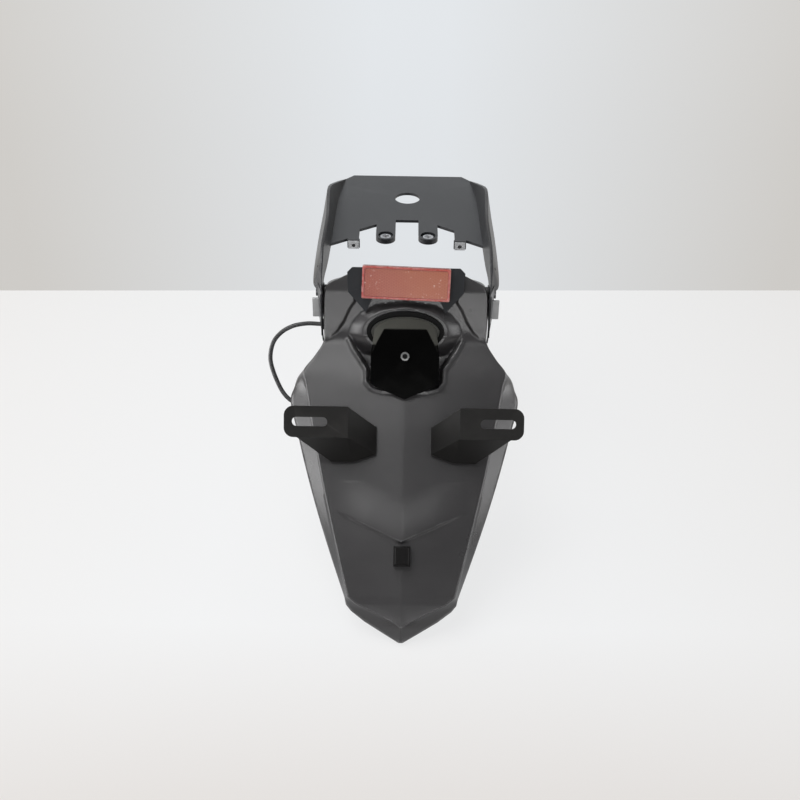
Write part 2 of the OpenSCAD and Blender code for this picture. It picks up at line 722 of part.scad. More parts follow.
module lamp_hood() {
  color("#141414") difference() {
    hull() {
      hood_front(0);
      hood_back(0);
    }
    hull() {
      hood_front(hood_t);
      translate([0, 0.5, -0.2]) hood_back(hood_t);
      on_face() translate([2 - hood_low_w / 2 + hood_t, -50, 16]) cube([hood_low_w - 4 - 2 * hood_t, 10, 8]);
    }
    on_hood() translate([0, screw_y, -hood_t - 2]) cylinder(h = 6, d = 4.4);
  }
}

// Clear window in the hood's open underside, held between its side walls
lens_w = hood_low_w - 2 * hood_t - 3.8;
lens_l = 22;
lens_t = 2;
lens_low_t = 54;
lens_z = 3.6;
module lamp_lens() {
  color("#cfd4d6") on_panel() translate([-lens_w / 2, -lens_low_t, lens_z]) cube([lens_w, lens_l, lens_t]);
}

module lamp_board() {
  color("#2f5a3a") on_face() translate([-18, ring_y - 4, board_z]) difference() {
    cube([36, 10, 1.6]);
    translate([18, 4, -1]) cylinder(h = 4, d = lead_d);
  }
}

module lamp_screw() {
  color("#9a9c9e") on_hood() translate([0, screw_y, 0]) {
    translate([0, 0, -14]) cylinder(h = 14 + eps, d = 3.9);
    difference() {
      cylinder(h = 2.6, d = lamp_screw_d);
      translate([0, 0, 1]) cylinder(h = 3, d = 4, $fn = 6);
    }
  }
}

// Places children in the plane that the number plate would lie in
module on_stay(side) {
  on_side(side) on_panel() translate([slot_gap / 2, -stay_t, stay_off])
    rotate([plate_slope - panel_slope, 0, 0]) children();
}

tab_r = 9;
foot_in = 27;
foot_l = 45;
foot_w = 36;
foot_mid = 114;
// Rise of the foot's inner corner over its lower edge
foot_cut = 8;
tab_in = -36.5;
module stay_tab() {
  linear_extrude(stay_thick) difference() {
    union() {
      translate([tab_in, -stay_h / 2]) square([tab_l - tab_r, stay_h]);
      translate([tab_in, tab_r - stay_h / 2]) square([tab_l, stay_h - 2 * tab_r]);
      for (s = [-1, 1]) translate([tab_in + tab_l - tab_r, s * (stay_h / 2 - tab_r)]) circle(tab_r);
    }
    translate([-(slot_l - slot_w) / 2, -slot_w / 2]) square([slot_l - slot_w, slot_w]);
    for (s = [-1, 1]) translate([s * (slot_l - slot_w) / 2, 0]) circle(d = slot_w);
  }
}

// Depth that the stay's slanted wall and gusset sink into its tab and foot
sunk = 0.3;
stay_bar = stay_thick - 2 * sunk;

// Bar inside the stay's tab, from its inner lower corner
module tab_bar(side, l, w) {
  on_stay(side) translate([tab_in + sunk, sunk - stay_h / 2, sunk - stay_thick]) cube([l, w, stay_bar]);
}

// Bar inside the stay's foot, x and y from its inner lower corner
module foot_bar(side, x, y, l, w) {
  on_side(side) on_panel() translate([foot_in + x, y - foot_mid - foot_w / 2, seat_h + sunk])
    cube([l, w, stay_bar]);
}

// Folded steel stay: slotted tab, slanted wall, gusset and foot
module plate_stay(side) {
  half_l = foot_l / 2;
  color("#3f3d3a") difference() {
    union() {
      on_stay(side) translate([0, 0, -stay_thick]) stay_tab();
      on_side(side) on_panel() translate([foot_in, -foot_mid - foot_w / 2, seat_h]) linear_extrude(stay_thick)
        polygon([[0, foot_cut], [half_l, 0], [foot_l, 0], [foot_l, foot_w], [0, foot_w]]);
      hull() {
        tab_bar(side, stay_bar, stay_h - 2 * sunk);
        foot_bar(side, sunk, foot_cut + 2 * sunk, stay_bar, foot_w - foot_cut - 4 * sunk);
      }
      hull() {
        tab_bar(side, tab_l - tab_r - 3, stay_bar);
        foot_bar(side, half_l, sunk, half_l - 2 * sunk, stay_bar);
      }
      hull() {
        tab_bar(side, stay_bar, stay_bar);
        foot_bar(side, half_l, sunk, stay_bar, stay_bar);
        foot_bar(side, 2 * sunk, foot_cut + 2 * sunk, stay_bar, stay_bar);
      }
    }
    on_side(side) on_panel() for (p = stay_screw_points)
      translate([p[0], -p[1], seat_h - 1]) cylinder(h = stay_thick + 2, d = stay_hole_d);
  }
}

screw_d = 6;
module stay_screws(side) {
  color("#4b4d50") on_side(side) on_panel() for (p = stay_screw_points) translate([p[0], -p[1], 0]) {
    translate([0, 0, -shell_t - 8]) cylinder(h = shell_t + 8 + seat_h + stay_thick + 2 * eps, d = screw_d);
    translate([0, 0, seat_h + stay_thick + eps]) difference() {
      cylinder(h = 3.3, d = 10.5);
      translate([0, 0, 1.3]) cylinder(h = 3, d = 4.6, $fn = 6);
    }
  }
}

module stay_nuts(side) {
  color("#8d8f91") on_side(side) on_panel() for (p = stay_screw_points)
    translate([p[0], -p[1], -shell_t - 6]) difference() {
      union() {
        cylinder(h = 5, d = 11, $fn = 6);
        translate([0, 0, 3.5]) cylinder(h = 1.5, d = 13);
      }
      translate([0, 0, -1]) cylinder(h = 7, d = screw_d + 0.05);
    }
}

// Rubber block under the number plate's lower edge, with a stem through the panel
module plate_rest() {
  color("#1b1b1b") on_panel() translate([0, -rest_t, rest_seat_h]) {
    hull() {
      translate([-rest_w / 2, -rest_l / 2, 0]) cube([rest_w, rest_l, rest_h - 3]);
      translate([-rest_w / 2 + 2, -rest_l / 2 + 2, 0]) cube([rest_w - 4, rest_l - 4, rest_h]);
    }
    translate([0, 0, -rest_seat_h - shell_t - 3]) cylinder(h = rest_seat_h + shell_t + 3 + eps, d = stem_d);
    translate([0, 0, -rest_seat_h - shell_t - 4]) cylinder(h = 3.5, d = stem_d + 4);
  }
}

// Route of the lead: from the lamp through the shell's left wall, round the
// free loop and in behind the panel's left edge to its connector
lead_route = [
  [0, -103.7, -53.9], [0, -97.7, -55.9], [0, -91.5, -57.6], [-6, -84, -58.6], [-20, -80, -60],
  [-42, -82, -60], [-62, -87, -59], [-72, -88, -58], [-80, -88, -58], [-88, -88, -58], [-100, -89, -57],
  [-112, -91, -58], [-121, -93, -61], [-128, -96, -65], [-134, -100, -71], [-137, -104, -78],
  [-138, -109, -85], [-137, -114, -91], [-134, -120, -98], [-130, -126, -105], [-125, -132, -112],
  [-119, -137, -117], [-112, -140, -120], [-104, -142, -117], [-97, -145.5, -111], [-91, -147, -108],
  [-87, -147, -108], [-84, -147, -108]
];
lead_sides = 10;

function unit(v) = v / norm(v);
// Rings of a round cord along its points
function cord_rings(points, r, n) = [
  for (i = [0:len(points) - 1])
    let (
      along = unit(points[min(i + 1, len(points) - 1)] - points[max(i - 1, 0)]),
      across = unit(cross(along, [0.3, 0.2, 1])),
      up = cross(across, along)
    )
      [for (k = [0:n - 1]) points[i] + r * (cos(360 * k / n) * across + sin(360 * k / n) * up)]
];

module lead() {
  color("#101010") lifted() loft(cord_rings(smooth(lead_route, 2), lead_d / 2, lead_sides));
}

// Rubber grommet in the shell's left wall
module lead_grommet() {
  color("#181818") lifted() translate([0, grommet_at[1], grommet_at[2]]) mirror([1, 0, 0]) difference() {
    union() {
      rod_x(half_body - 5.8, half_body + 2.4, grommet_d - 2 * fit);
      rod_x(half_body - 5.8, half_body - 3.5, grommet_d + 2.4);
      rod_x(half_body + 0.2, half_body + 2.4, grommet_d + 2.4);
    }
    rod_x(half_body - 8, half_body + 4, lead_d + 0.1);
  }
}

connector_size = [24, 12, 9];
// The connector, with its back against a pad behind the panel
module lead_connector() {
  last = lead_route[len(lead_route) - 1];
  color("#1d1d1f") lifted() translate(last) rotate([panel_slope, 0, 0]) difference() {
    translate([0, -connector_size[1] / 2, -connector_size[2] / 2]) cube(connector_size);
    translate([connector_size[0] - 9, 1.2 - connector_size[1] / 2, 1.2 - connector_size[2] / 2])
      cube([10, connector_size[1] - 2.4, connector_size[2] - 2.4]);
  }
}

upper_tray();
tail_collar(-1);  // tail_collar_left
tail_collar(1);  // tail_collar_right
clip_nut(-1);  // clip_nut_left
clip_nut(1);  // clip_nut_right
rear_shell();
side_clip(-1);  // side_clip_left
side_clip(1);  // side_clip_right
side_bolts(-1);  // side_bolts_left
side_bolts(1);  // side_bolts_right
side_nuts(-1);  // side_nuts_left
side_nuts(1);  // side_nuts_right
reflector_bracket();
reflector_base();
reflector_lens();
reflector_nuts();
lamp_gasket();
lamp_base();
lamp_hood();
lamp_lens();
lamp_board();
lamp_screw();
plate_stay(-1);  // plate_stay_left
plate_stay(1);  // plate_stay_right
stay_screws(-1);  // stay_screws_left
stay_screws(1);  // stay_screws_right
stay_nuts(-1);  // stay_nuts_left
stay_nuts(1);  // stay_nuts_right
plate_rest();
lead_grommet();
lead();
lead_connector();
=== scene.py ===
import bpy
import bmesh
import math
import numpy as np
from mathutils import Matrix, Vector


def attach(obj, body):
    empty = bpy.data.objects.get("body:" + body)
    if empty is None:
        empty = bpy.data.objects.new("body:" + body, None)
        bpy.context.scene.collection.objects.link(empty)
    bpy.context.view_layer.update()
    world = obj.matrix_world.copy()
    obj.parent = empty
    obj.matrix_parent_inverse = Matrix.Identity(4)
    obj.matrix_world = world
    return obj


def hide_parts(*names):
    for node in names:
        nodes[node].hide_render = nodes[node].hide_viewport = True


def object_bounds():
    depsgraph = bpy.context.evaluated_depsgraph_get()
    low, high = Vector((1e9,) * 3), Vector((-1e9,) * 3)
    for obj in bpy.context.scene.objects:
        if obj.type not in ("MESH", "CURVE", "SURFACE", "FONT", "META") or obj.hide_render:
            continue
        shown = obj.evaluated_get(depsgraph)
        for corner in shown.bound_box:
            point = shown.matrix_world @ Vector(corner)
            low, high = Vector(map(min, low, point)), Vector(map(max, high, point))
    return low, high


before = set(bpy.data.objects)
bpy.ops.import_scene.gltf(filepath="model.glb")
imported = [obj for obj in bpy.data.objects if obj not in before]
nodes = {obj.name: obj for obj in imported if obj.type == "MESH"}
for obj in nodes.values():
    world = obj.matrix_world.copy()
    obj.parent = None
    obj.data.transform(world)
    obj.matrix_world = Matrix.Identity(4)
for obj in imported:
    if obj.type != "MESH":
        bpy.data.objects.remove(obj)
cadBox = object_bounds()
scene = bpy.context.scene
scene.view_settings.view_transform = "Standard"
print("frame loaded,", len(nodes), "nodes")

# shared places, in millimetres from the tray's top face
lift = 1.6  # the origin lies on the collars, this far below the tray's top face
jointY, jointZ = -105.7, -59.3  # where the rear face meets the panel
bodySlope, panelSlope = 70.0, 42.0


def slopeAxes(angle):
    a = math.radians(angle)
    return np.array([0, math.cos(a), math.sin(a)]), np.array([0, -math.sin(a), math.cos(a)])


def slopeMatrix(angle, place=(0, 0, 0)):  # metres, for pieces drawn flat: Y up the slope, Z out of it
    up, out = slopeAxes(angle)
    here = np.array([place[0], jointY, jointZ + lift]) + up * place[1] + out * place[2]
    m = Matrix(((1, 0, 0, 0), (0, up[1], out[1], 0), (0, up[2], out[2], 0), (0, 0, 0, 1)))
    m.translation = Vector(here / 1000)
    return m


# camera at the photograph's angle
cameraSet = {"height": 0.5636, "back": 1.0966, "pitch": 54.7, "roll": 0.9, "lens": 51.75, "aside": 4.3}
cameraData = bpy.data.cameras.new("photoCamera")
cameraData.lens = cameraSet["lens"]
cameraData.sensor_width = 36
cameraData.shift_x = -cameraSet["aside"] / 800
camera = bpy.data.objects.new("photoCamera", cameraData)
scene.collection.objects.link(camera)
camera.matrix_world = (
    Matrix.Translation((0, -cameraSet["back"], cameraSet["height"]))
    @ Matrix.Rotation(math.radians(cameraSet["pitch"]), 4, "X")
    @ Matrix.Rotation(math.radians(cameraSet["roll"]), 4, "Z")
)
scene.camera = camera


def bendPoint(a, b, c, d, f):
    return 0.5 * (2 * b + (c - a) * f + (2 * a - 5 * b + 4 * c - d) * f**2 + (3 * b - a - 3 * c + d) * f**3)


def smoothRows(rows, steps):  # steps is one number, or a list with one for each gap
    rows = [np.array(r, float) for r in rows]
    out = []
    for i in range(len(rows) - 1):
        n = steps if isinstance(steps, int) else steps[i]
        before, after = rows[max(i - 1, 0)], rows[min(i + 2, len(rows) - 1)]
        for k in range(n):
            out.append(bendPoint(before, rows[i], rows[i + 1], after, k / n))
    out.append(rows[-1])
    return out


# the lead, drawn first
leadSet = {
    "thick": 4.4,
    "route": [
        (0, -103.7, -53.9), (0, -97.7, -55.9), (0, -91.5, -57.6), (-6, -84, -58.6), (-20, -80, -60),
        (-42, -82, -60), (-62, -87, -59), (-72, -88, -58), (-80, -88, -58), (-88, -88, -58), (-100, -89, -57),
        (-112, -91, -58), (-121, -93, -61), (-128, -96, -65), (-134, -100, -71), (-137, -104, -78),
        (-138, -109, -85), (-137, -114, -91), (-134, -120, -98), (-130, -126, -105), (-125, -132, -112),
        (-119, -137, -117), (-112, -140, -120), (-104, -142, -117), (-97, -145.5, -111), (-91, -147, -108),
        (-87, -147, -108), (-84, -147, -108),
    ],
}
leadPoints = [(p + (0, 0, lift)) / 1000 for p in smoothRows(leadSet["route"], 4)]


def tubeMesh(name, points, radius, sides=12):  # round tube along points in metres, with domed ends
    ahead = [points[min(i + 1, len(points) - 1)] - points[max(i - 1, 0)] for i in range(len(points))]
    ahead = [d / np.linalg.norm(d) for d in ahead]
    across = np.cross(ahead[0], [0.3, 0.2, 1])
    bm = bmesh.new()
    rings = []

    def ring(middle, direction, size):
        nonlocal across
        across = across - direction * float(across @ direction)
        across = across / np.linalg.norm(across)
        up = np.cross(direction, across)
        turns = [2 * math.pi * k / sides for k in range(sides)]
        rings.append([bm.verts.new(middle + size * (math.cos(a) * across + math.sin(a) * up)) for a in turns])

    ring(points[0], ahead[0], 0.7 * radius)
    ring(points[0] + 0.1 * radius * ahead[0], ahead[0], radius)
    for middle, direction in zip(points[1:-1], ahead[1:-1]):
        ring(middle, direction, radius)
    ring(points[-1] - 0.1 * radius * ahead[-1], ahead[-1], radius)
    ring(points[-1], ahead[-1], 0.7 * radius)
    for low, high in zip(rings, rings[1:]):
        for k in range(sides):
            bm.faces.new((low[k], low[(k + 1) % sides], high[(k + 1) % sides], high[k]))
    bm.faces.new(rings[-1])
    bm.faces.new(rings[0][::-1])
    bmesh.ops.recalc_face_normals(bm, faces=bm.faces)
    mesh = bpy.data.meshes.new(name)
    bm.to_mesh(mesh)
    bm.free()
    mesh.polygons.foreach_set("use_smooth", [True] * len(mesh.polygons))
    piece = bpy.data.objects.new(name, mesh)
    scene.collection.objects.link(piece)
    return piece


leadCord = tubeMesh("leadCord", leadPoints, leadSet["thick"] / 2000)
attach(leadCord, "root")
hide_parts("lead")


# node groups that several finishes share
def newGroup(name, inputs, outputs):
    group = bpy.data.node_groups.new(name, "ShaderNodeTree")
    for label, kind, value in inputs:
        socket = group.interface.new_socket(label, in_out="INPUT", socket_type=kind)
        socket.default_value = value
    for label, kind in outputs:
        group.interface.new_socket(label, in_out="OUTPUT", socket_type=kind)
    start = group.nodes.new("NodeGroupInput")
    end = group.nodes.new("NodeGroupOutput")
    start.location, end.location = (-900, 0), (700, 0)
    return group, start, end


def addNode(tree, kind, place=(0, 0), **settings):
    node = tree.nodes.new(kind)
    node.location = place
    for key, value in settings.items():
        setattr(node, key, value)
    return node


def addMath(tree, operation, a, b=None, place=(0, 0), clamp=False):
    node = addNode(tree, "ShaderNodeMath", place, operation=operation, use_clamp=clamp)
    for i, value in enumerate((a, b)):
        if value is None:
            continue
        if isinstance(value, (int, float)):
            node.inputs[i].default_value = value
        else:
            tree.links.new(value, node.inputs[i])
    return node.outputs[0]


def mixColour(tree, factor, a, b, place=(0, 0), blend="MIX"):
    node = addNode(tree, "ShaderNodeMix", place, data_type="RGBA", blend_type=blend)
    for socket, value in ((node.inputs[0], factor), (node.inputs[6], a), (node.inputs[7], b)):
        if isinstance(value, (int, float)):
            socket.default_value = value
        elif isinstance(value, tuple):
            socket.default_value = (*value, 1)
        else:
            tree.links.new(value, socket)
    return node.outputs[2]


def buildMouldGrain():  # fine spark-eroded grain of a moulded surface, and a slow drift under it
    group, start, end = newGroup(
        "mouldGrain",
        [("Size", "NodeSocketFloat", 900.0), ("Depth", "NodeSocketFloat", 0.5)],
        [("Height", "NodeSocketFloat"), ("Drift", "NodeSocketFloat")],
    )
    where = addNode(group, "ShaderNodeTexCoord", (-900, -250))
    fine = addNode(group, "ShaderNodeTexNoise", (-600, 150))
    fine.inputs["Detail"].default_value = 3
    group.links.new(where.outputs["Object"], fine.inputs["Vector"])
    group.links.new(start.outputs["Size"], fine.inputs["Scale"])
    pits = addNode(group, "ShaderNodeTexVoronoi", (-600, -100))
    group.links.new(where.outputs["Object"], pits.inputs["Vector"])
    group.links.new(addMath(group, "MULTIPLY", start.outputs["Size"], 1.6, (-750, -100)), pits.inputs["Scale"])
    slow = addNode(group, "ShaderNodeTexNoise", (-600, -400))
    slow.inputs["Scale"].default_value = 14
    slow.inputs["Detail"].default_value = 4
    group.links.new(where.outputs["Object"], slow.inputs["Vector"])
    both = addMath(group, "ADD", fine.outputs[0], pits.outputs["Distance"], (-300, 50))
    group.links.new(addMath(group, "MULTIPLY", both, start.outputs["Depth"], (-100, 50)), end.inputs["Height"])
    group.links.new(slow.outputs[0], end.inputs["Drift"])
    return group


def buildEdgeRubAndHighlight():  # mask of convex corners, broken up by noise: edge wear, and on the shell also painted highlights along the crests
    group, start, end = newGroup(
        "edgeRubAndHighlight",
        [("Amount", "NodeSocketFloat", 0.6), ("Breaks", "NodeSocketFloat", 60.0)],
        [("Mask", "NodeSocketFloat")],
    )
    shape = addNode(group, "ShaderNodeNewGeometry", (-900, 250))
    edge = addNode(group, "ShaderNodeMapRange", (-650, 250))
    edge.inputs["From Min"].default_value = 0.515
    edge.inputs["From Max"].default_value = 0.58
    group.links.new(shape.outputs["Pointiness"], edge.inputs["Value"])
    where = addNode(group, "ShaderNodeTexCoord", (-900, -150))
    noise = addNode(group, "ShaderNodeTexNoise", (-650, -150))
    noise.inputs["Detail"].default_value = 5
    group.links.new(where.outputs["Object"], noise.inputs["Vector"])
    group.links.new(start.outputs["Breaks"], noise.inputs["Scale"])
    broken = addNode(group, "ShaderNodeMapRange", (-400, -150))
    broken.inputs["From Min"].default_value = 0.35
    broken.inputs["From Max"].default_value = 0.65
    group.links.new(noise.outputs[0], broken.inputs["Value"])
    rubbedAndHighlit = addMath(group, "MULTIPLY", edge.outputs[0], broken.outputs[0], (-150, 100))
    mask = addMath(group, "MULTIPLY", rubbedAndHighlit, start.outputs["Amount"], (50, 100), True)
    group.links.new(mask, end.inputs["Mask"])
    return group


def buildSettledDust():  # thin dust on what faces up, thicker in patches
    group, start, end = newGroup(
        "settledDust",
        [("Amount", "NodeSocketFloat", 0.15), ("Patch", "NodeSocketFloat", 30.0)],
        [("Mask", "NodeSocketFloat")],
    )
    shape = addNode(group, "ShaderNodeNewGeometry", (-900, 250))
    split = addNode(group, "ShaderNodeSeparateXYZ", (-700, 250))
    group.links.new(shape.outputs["Normal"], split.inputs[0])
    up = addNode(group, "ShaderNodeMapRange", (-500, 250))
    up.inputs["From Min"].default_value = 0.2
    up.inputs["From Max"].default_value = 1.0
    group.links.new(split.outputs[2], up.inputs["Value"])
    where = addNode(group, "ShaderNodeTexCoord", (-900, -150))
    noise = addNode(group, "ShaderNodeTexNoise", (-650, -150))
    noise.inputs["Detail"].default_value = 6
    group.links.new(where.outputs["Object"], noise.inputs["Vector"])
    group.links.new(start.outputs["Patch"], noise.inputs["Scale"])
    dusty = addMath(group, "MULTIPLY", up.outputs[0], noise.outputs[0], (-200, 100))
    mask = addMath(group, "MULTIPLY", dusty, start.outputs["Amount"], (0, 100), True)
    group.links.new(mask, end.inputs["Mask"])
    return group


mouldGrain = buildMouldGrain()
edgeRubAndHighlight = buildEdgeRubAndHighlight()
settledDust = buildSettledDust()


def placeGroup(tree, group, place=(0, 0), **values):
    node = addNode(tree, "ShaderNodeGroup", place, node_tree=group)
    for key, value in values.items():
        node.inputs[key].default_value = value
    return node


def startFinish(name):
    material = bpy.data.materials.new(name)
    material.use_nodes = True
    tree = material.node_tree
    shader = tree.nodes["Principled BSDF"]
    return material, tree, shader


def addBump(tree, shader, height, strength, distance, place=(-250, -350)):
    bump = addNode(tree, "ShaderNodeBump", place)
    bump.inputs["Strength"].default_value = strength
    bump.inputs["Distance"].default_value = distance
    tree.links.new(height, bump.inputs["Height"])
    tree.links.new(bump.outputs[0], shader.inputs["Normal"])
    return bump


def rangeNode(tree, value, low, high, outLow, outHigh, place=(0, 0)):
    node = addNode(tree, "ShaderNodeMapRange", place)
    node.inputs["From Min"].default_value = low
    node.inputs["From Max"].default_value = high
    node.inputs["To Min"].default_value = outLow
    node.inputs["To Max"].default_value = outHigh
    tree.links.new(value, node.inputs["Value"])
    return node.outputs[0]


# satin moulded plastic or rubber: grain, slow drift, lighter edges that are partly wear and partly painted
# highlight, and a little dust
def mouldedFinish(
    name, colour, rubAndHighlightColour, dustColour, rough, grainSize, grainDepth, rubAndHighlight, dust, specular=0.5, coat=0.0
):
    material, tree, shader = startFinish(name)
    grain = placeGroup(tree, mouldGrain, (-1000, -300), Size=grainSize, Depth=grainDepth)
    edges = placeGroup(tree, edgeRubAndHighlight, (-1000, 200), Amount=rubAndHighlight)
    dusty = placeGroup(tree, settledDust, (-1000, 0), Amount=dust)
    deep = tuple(c * 0.86 for c in colour)
    slow = rangeNode(tree, grain.outputs["Drift"], 0.15, 0.85, 0, 1, (-750, -150))
    base = mixColour(tree, slow, deep, colour, (-550, 300))
    rubbedAndHighlit = mixColour(tree, edges.outputs["Mask"], base, rubAndHighlightColour, (-350, 300))
    dusted = mixColour(tree, dusty.outputs["Mask"], rubbedAndHighlit, dustColour, (-150, 300))
    tree.links.new(dusted, shader.inputs["Base Color"])
    matt = rangeNode(tree, grain.outputs["Drift"], 0.1, 0.9, rough - 0.05, rough + 0.07, (-350, 0))
    tree.links.new(matt, shader.inputs["Roughness"])
    shader.inputs["Specular IOR Level"].default_value = specular
    shader.inputs["Coat Weight"].default_value = coat
    shader.inputs["Coat Roughness"].default_value = 0.16  # a little glossier than the grain under it
    addBump(tree, shader, grain.outputs["Height"], 0.35, 0.0003)
    return material


# plated steel: brushed streaks, dull blotches and brighter corners
def plateFinish(name, colour, dull, rough, rubAndHighlight=0.3, metal=1.0):
    material, tree, shader = startFinish(name)
    where = addNode(tree, "ShaderNodeTexCoord", (-1200, -200))
    stretch = addNode(tree, "ShaderNodeMapping", (-1000, -200))
    stretch.inputs["Scale"].default_value = (90, 900, 900)
    tree.links.new(where.outputs["Object"], stretch.inputs["Vector"])
    streak = addNode(tree, "ShaderNodeTexNoise", (-800, -200))
    streak.inputs["Scale"].default_value = 1
    streak.inputs["Detail"].default_value = 4
    tree.links.new(stretch.outputs[0], streak.inputs["Vector"])
    grain = placeGroup(tree, mouldGrain, (-1000, 100), Size=500.0, Depth=0.3)
    edges = placeGroup(tree, edgeRubAndHighlight, (-1000, 350), Amount=rubAndHighlight)
    blotch = rangeNode(tree, grain.outputs["Drift"], 0.35, 0.68, 0, 1, (-750, 100))
    base = mixColour(tree, blotch, colour, dull, (-500, 300))
    bright = tuple(min(1, c * 1.35) for c in colour)
    cornered = mixColour(tree, edges.outputs["Mask"], base, bright, (-300, 300))
    tree.links.new(cornered, shader.inputs["Base Color"])
    matt = rangeNode(tree, streak.outputs[0], 0.3, 0.7, rough - 0.08, rough + 0.12, (-400, 0))
    tree.links.new(matt, shader.inputs["Roughness"])
    shader.inputs["Metallic"].default_value = metal
    addBump(tree, shader, streak.outputs[0], 0.15, 0.0002)
    return material


finishes = {
    "tray": mouldedFinish(
        "trayPlastic", (0.0215, 0.0225, 0.025), (0.12, 0.12, 0.125), (0.3, 0.29, 0.28),
        rough=0.34, grainSize=1100.0, grainDepth=0.5, rubAndHighlight=0.1, dust=0.03, specular=0.38, coat=0.12,
    ),
    # on the shell the light edge colour paints highlights along the pocket lip, the shoulders and the step
    # crest, over real edge wear
    "shell": mouldedFinish(
        "shellPlastic", (0.024, 0.0229, 0.024), (0.3, 0.3, 0.3), (0.34, 0.33, 0.32),
        rough=0.29, grainSize=1300.0, grainDepth=0.45, rubAndHighlight=0.35, dust=0.05,
    ),
    "bracket": mouldedFinish(
        "bracketCoat", (0.018, 0.0195, 0.022), (0.09, 0.09, 0.1), (0.25, 0.24, 0.23),
        rough=0.55, grainSize=900.0, grainDepth=0.5, rubAndHighlight=0.08, dust=0.03, specular=0.14,
    ),
    "stay": mouldedFinish(
        "stayCoat", (0.0095, 0.0091, 0.0088), (0.11, 0.105, 0.1), (0.28, 0.27, 0.25),
        rough=0.42, grainSize=700.0, grainDepth=0.6, rubAndHighlight=0.12, dust=0.025, specular=0.12,
    ),
    "rubber": mouldedFinish(
        "blackRubber", (0.0045, 0.0045, 0.0045), (0.02, 0.02, 0.02), (0.2, 0.2, 0.19),
        rough=0.6, grainSize=800.0, grainDepth=0.4, rubAndHighlight=0.3, dust=0.01, specular=0.06,
    ),
    "lead": mouldedFinish(
        "leadSheath", (0.014, 0.014, 0.015), (0.05, 0.05, 0.05), (0.2, 0.2, 0.19),
        rough=0.42, grainSize=1500.0, grainDepth=0.25, rubAndHighlight=0.2, dust=0.04,
    ),
    "socket": mouldedFinish(
        "plugPlastic", (0.012, 0.012, 0.012), (0.06, 0.06, 0.06), (0.2, 0.2, 0.19),
        rough=0.36, grainSize=1500.0, grainDepth=0.25, rubAndHighlight=0.5, dust=0.03,
    ),
    "olive": mouldedFinish(
        "lampOlive", (0.03, 0.03, 0.026), (0.06, 0.06, 0.055), (0.2, 0.2, 0.18),
        rough=0.5, grainSize=1200.0, grainDepth=0.35, rubAndHighlight=0.05, dust=0.02, specular=0.2,
    ),
    "board": mouldedFinish(
        "boardCoat", (0.02, 0.11, 0.045), (0.1, 0.25, 0.12), (0.2, 0.2, 0.18),
        rough=0.3, grainSize=900.0, grainDepth=0.2, rubAndHighlight=0.3, dust=0.03,
    ),
    "redBack": mouldedFinish(
        "reflectorBack", (0.11, 0.014, 0.01), (0.3, 0.06, 0.05), (0.3, 0.2, 0.18),
        rough=0.35, grainSize=1200.0, grainDepth=0.2, rubAndHighlight=0.4, dust=0.03,
    ),
    "zinc": plateFinish("zincPlate", (0.62, 0.63, 0.65), (0.42, 0.42, 0.43), rough=0.34),
    "dark": plateFinish("darkPlate", (0.12, 0.12, 0.125), (0.06, 0.06, 0.065), rough=0.4),
    "clip": plateFinish("clipSteel", (0.36, 0.365, 0.37), (0.24, 0.24, 0.245), rough=0.42, rubAndHighlight=0.6, metal=0.6),
    "spring": plateFinish(
        "springSteel", (0.62, 0.63, 0.64), (0.46, 0.46, 0.47), rough=0.5, rubAndHighlight=0.5, metal=0.35,
    ),
    "rest": mouldedFinish(
        "restRubber", (0.007, 0.0065, 0.0065), (0.03, 0.03, 0.03), (0.1, 0.1, 0.1),
        rough=0.24, grainSize=900.0, grainDepth=0.25, rubAndHighlight=0.04, dust=0.02, specular=0.16,
    ),
}


def placeInPiece(tree, frameMatrix, place=(-1500, 0)):  # a piece's own coordinates, in metres, split in three
    where = addNode(tree, "ShaderNodeTexCoord", place)
    turn = addNode(tree, "ShaderNodeMapping", (place[0] + 200, place[1]), vector_type="TEXTURE")
    turn.inputs["Location"].default_value = frameMatrix.translation
    turn.inputs["Rotation"].default_value = frameMatrix.to_euler()
    tree.links.new(where.outputs["Object"], turn.inputs["Vector"])
    split = addNode(tree, "ShaderNodeSeparateXYZ", (place[0] + 400, place[1]))
    tree.links.new(turn.outputs[0], split.inputs[0])
    return turn.outputs[0], split.outputs


hoodSet = {"up": 11, "out": 26, "lean": 10, "screwDown": 26}  # place of the hood's front on the rear face
hoodLean = Matrix.Rotation(math.radians(-hoodSet["lean"]), 4, "X")
hoodPlace = slopeMatrix(bodySlope, (0, hoodSet["up"], hoodSet["out"])) @ hoodLean
screwPlace = hoodPlace @ Matrix.Translation((0, -hoodSet["screwDown"] / 1000, 0))


def hoodFinish():  # gloss black front, and a smoky olive shell behind it
    material, tree, shader = startFinish("hoodPlastic")
    axes = placeInPiece(tree, hoodPlace)[1]
    front = addMath(tree, "MAXIMUM", rangeNode(tree, axes[2], -0.0016, -0.0004, 0, 1, (-800, 200)),
                    rangeNode(tree, axes[1], -0.0135, -0.0155, 0, 1, (-800, 50)), (-650, 200))
    grain = placeGroup(tree, mouldGrain, (-1000, -300), Size=1500.0, Depth=0.2)
    edges = placeGroup(tree, edgeRubAndHighlight, (-1000, 400), Amount=0.04)
    slow = rangeNode(tree, grain.outputs["Drift"], 0.35, 0.65, 0, 1, (-800, -150))
    smoky = mixColour(tree, slow, (0.042, 0.042, 0.037), (0.052, 0.051, 0.046), (-600, 100))
    black = mixColour(tree, slow, (0.0012, 0.0012, 0.0012), (0.002, 0.002, 0.002), (-600, 300))
    base = mixColour(tree, front, smoky, black, (-400, 200))
    rubbedAndHighlit = mixColour(tree, edges.outputs["Mask"], base, (0.05, 0.05, 0.048), (-200, 250))
    tree.links.new(rubbedAndHighlit, shader.inputs["Base Color"])
    tree.links.new(rangeNode(tree, front, 0, 1, 0.42, 0.24, (-400, -50)), shader.inputs["Roughness"])
    shader.inputs["Specular IOR Level"].default_value = 0.02
    addBump(tree, shader, grain.outputs["Height"], 0.25, 0.0002)
    return material


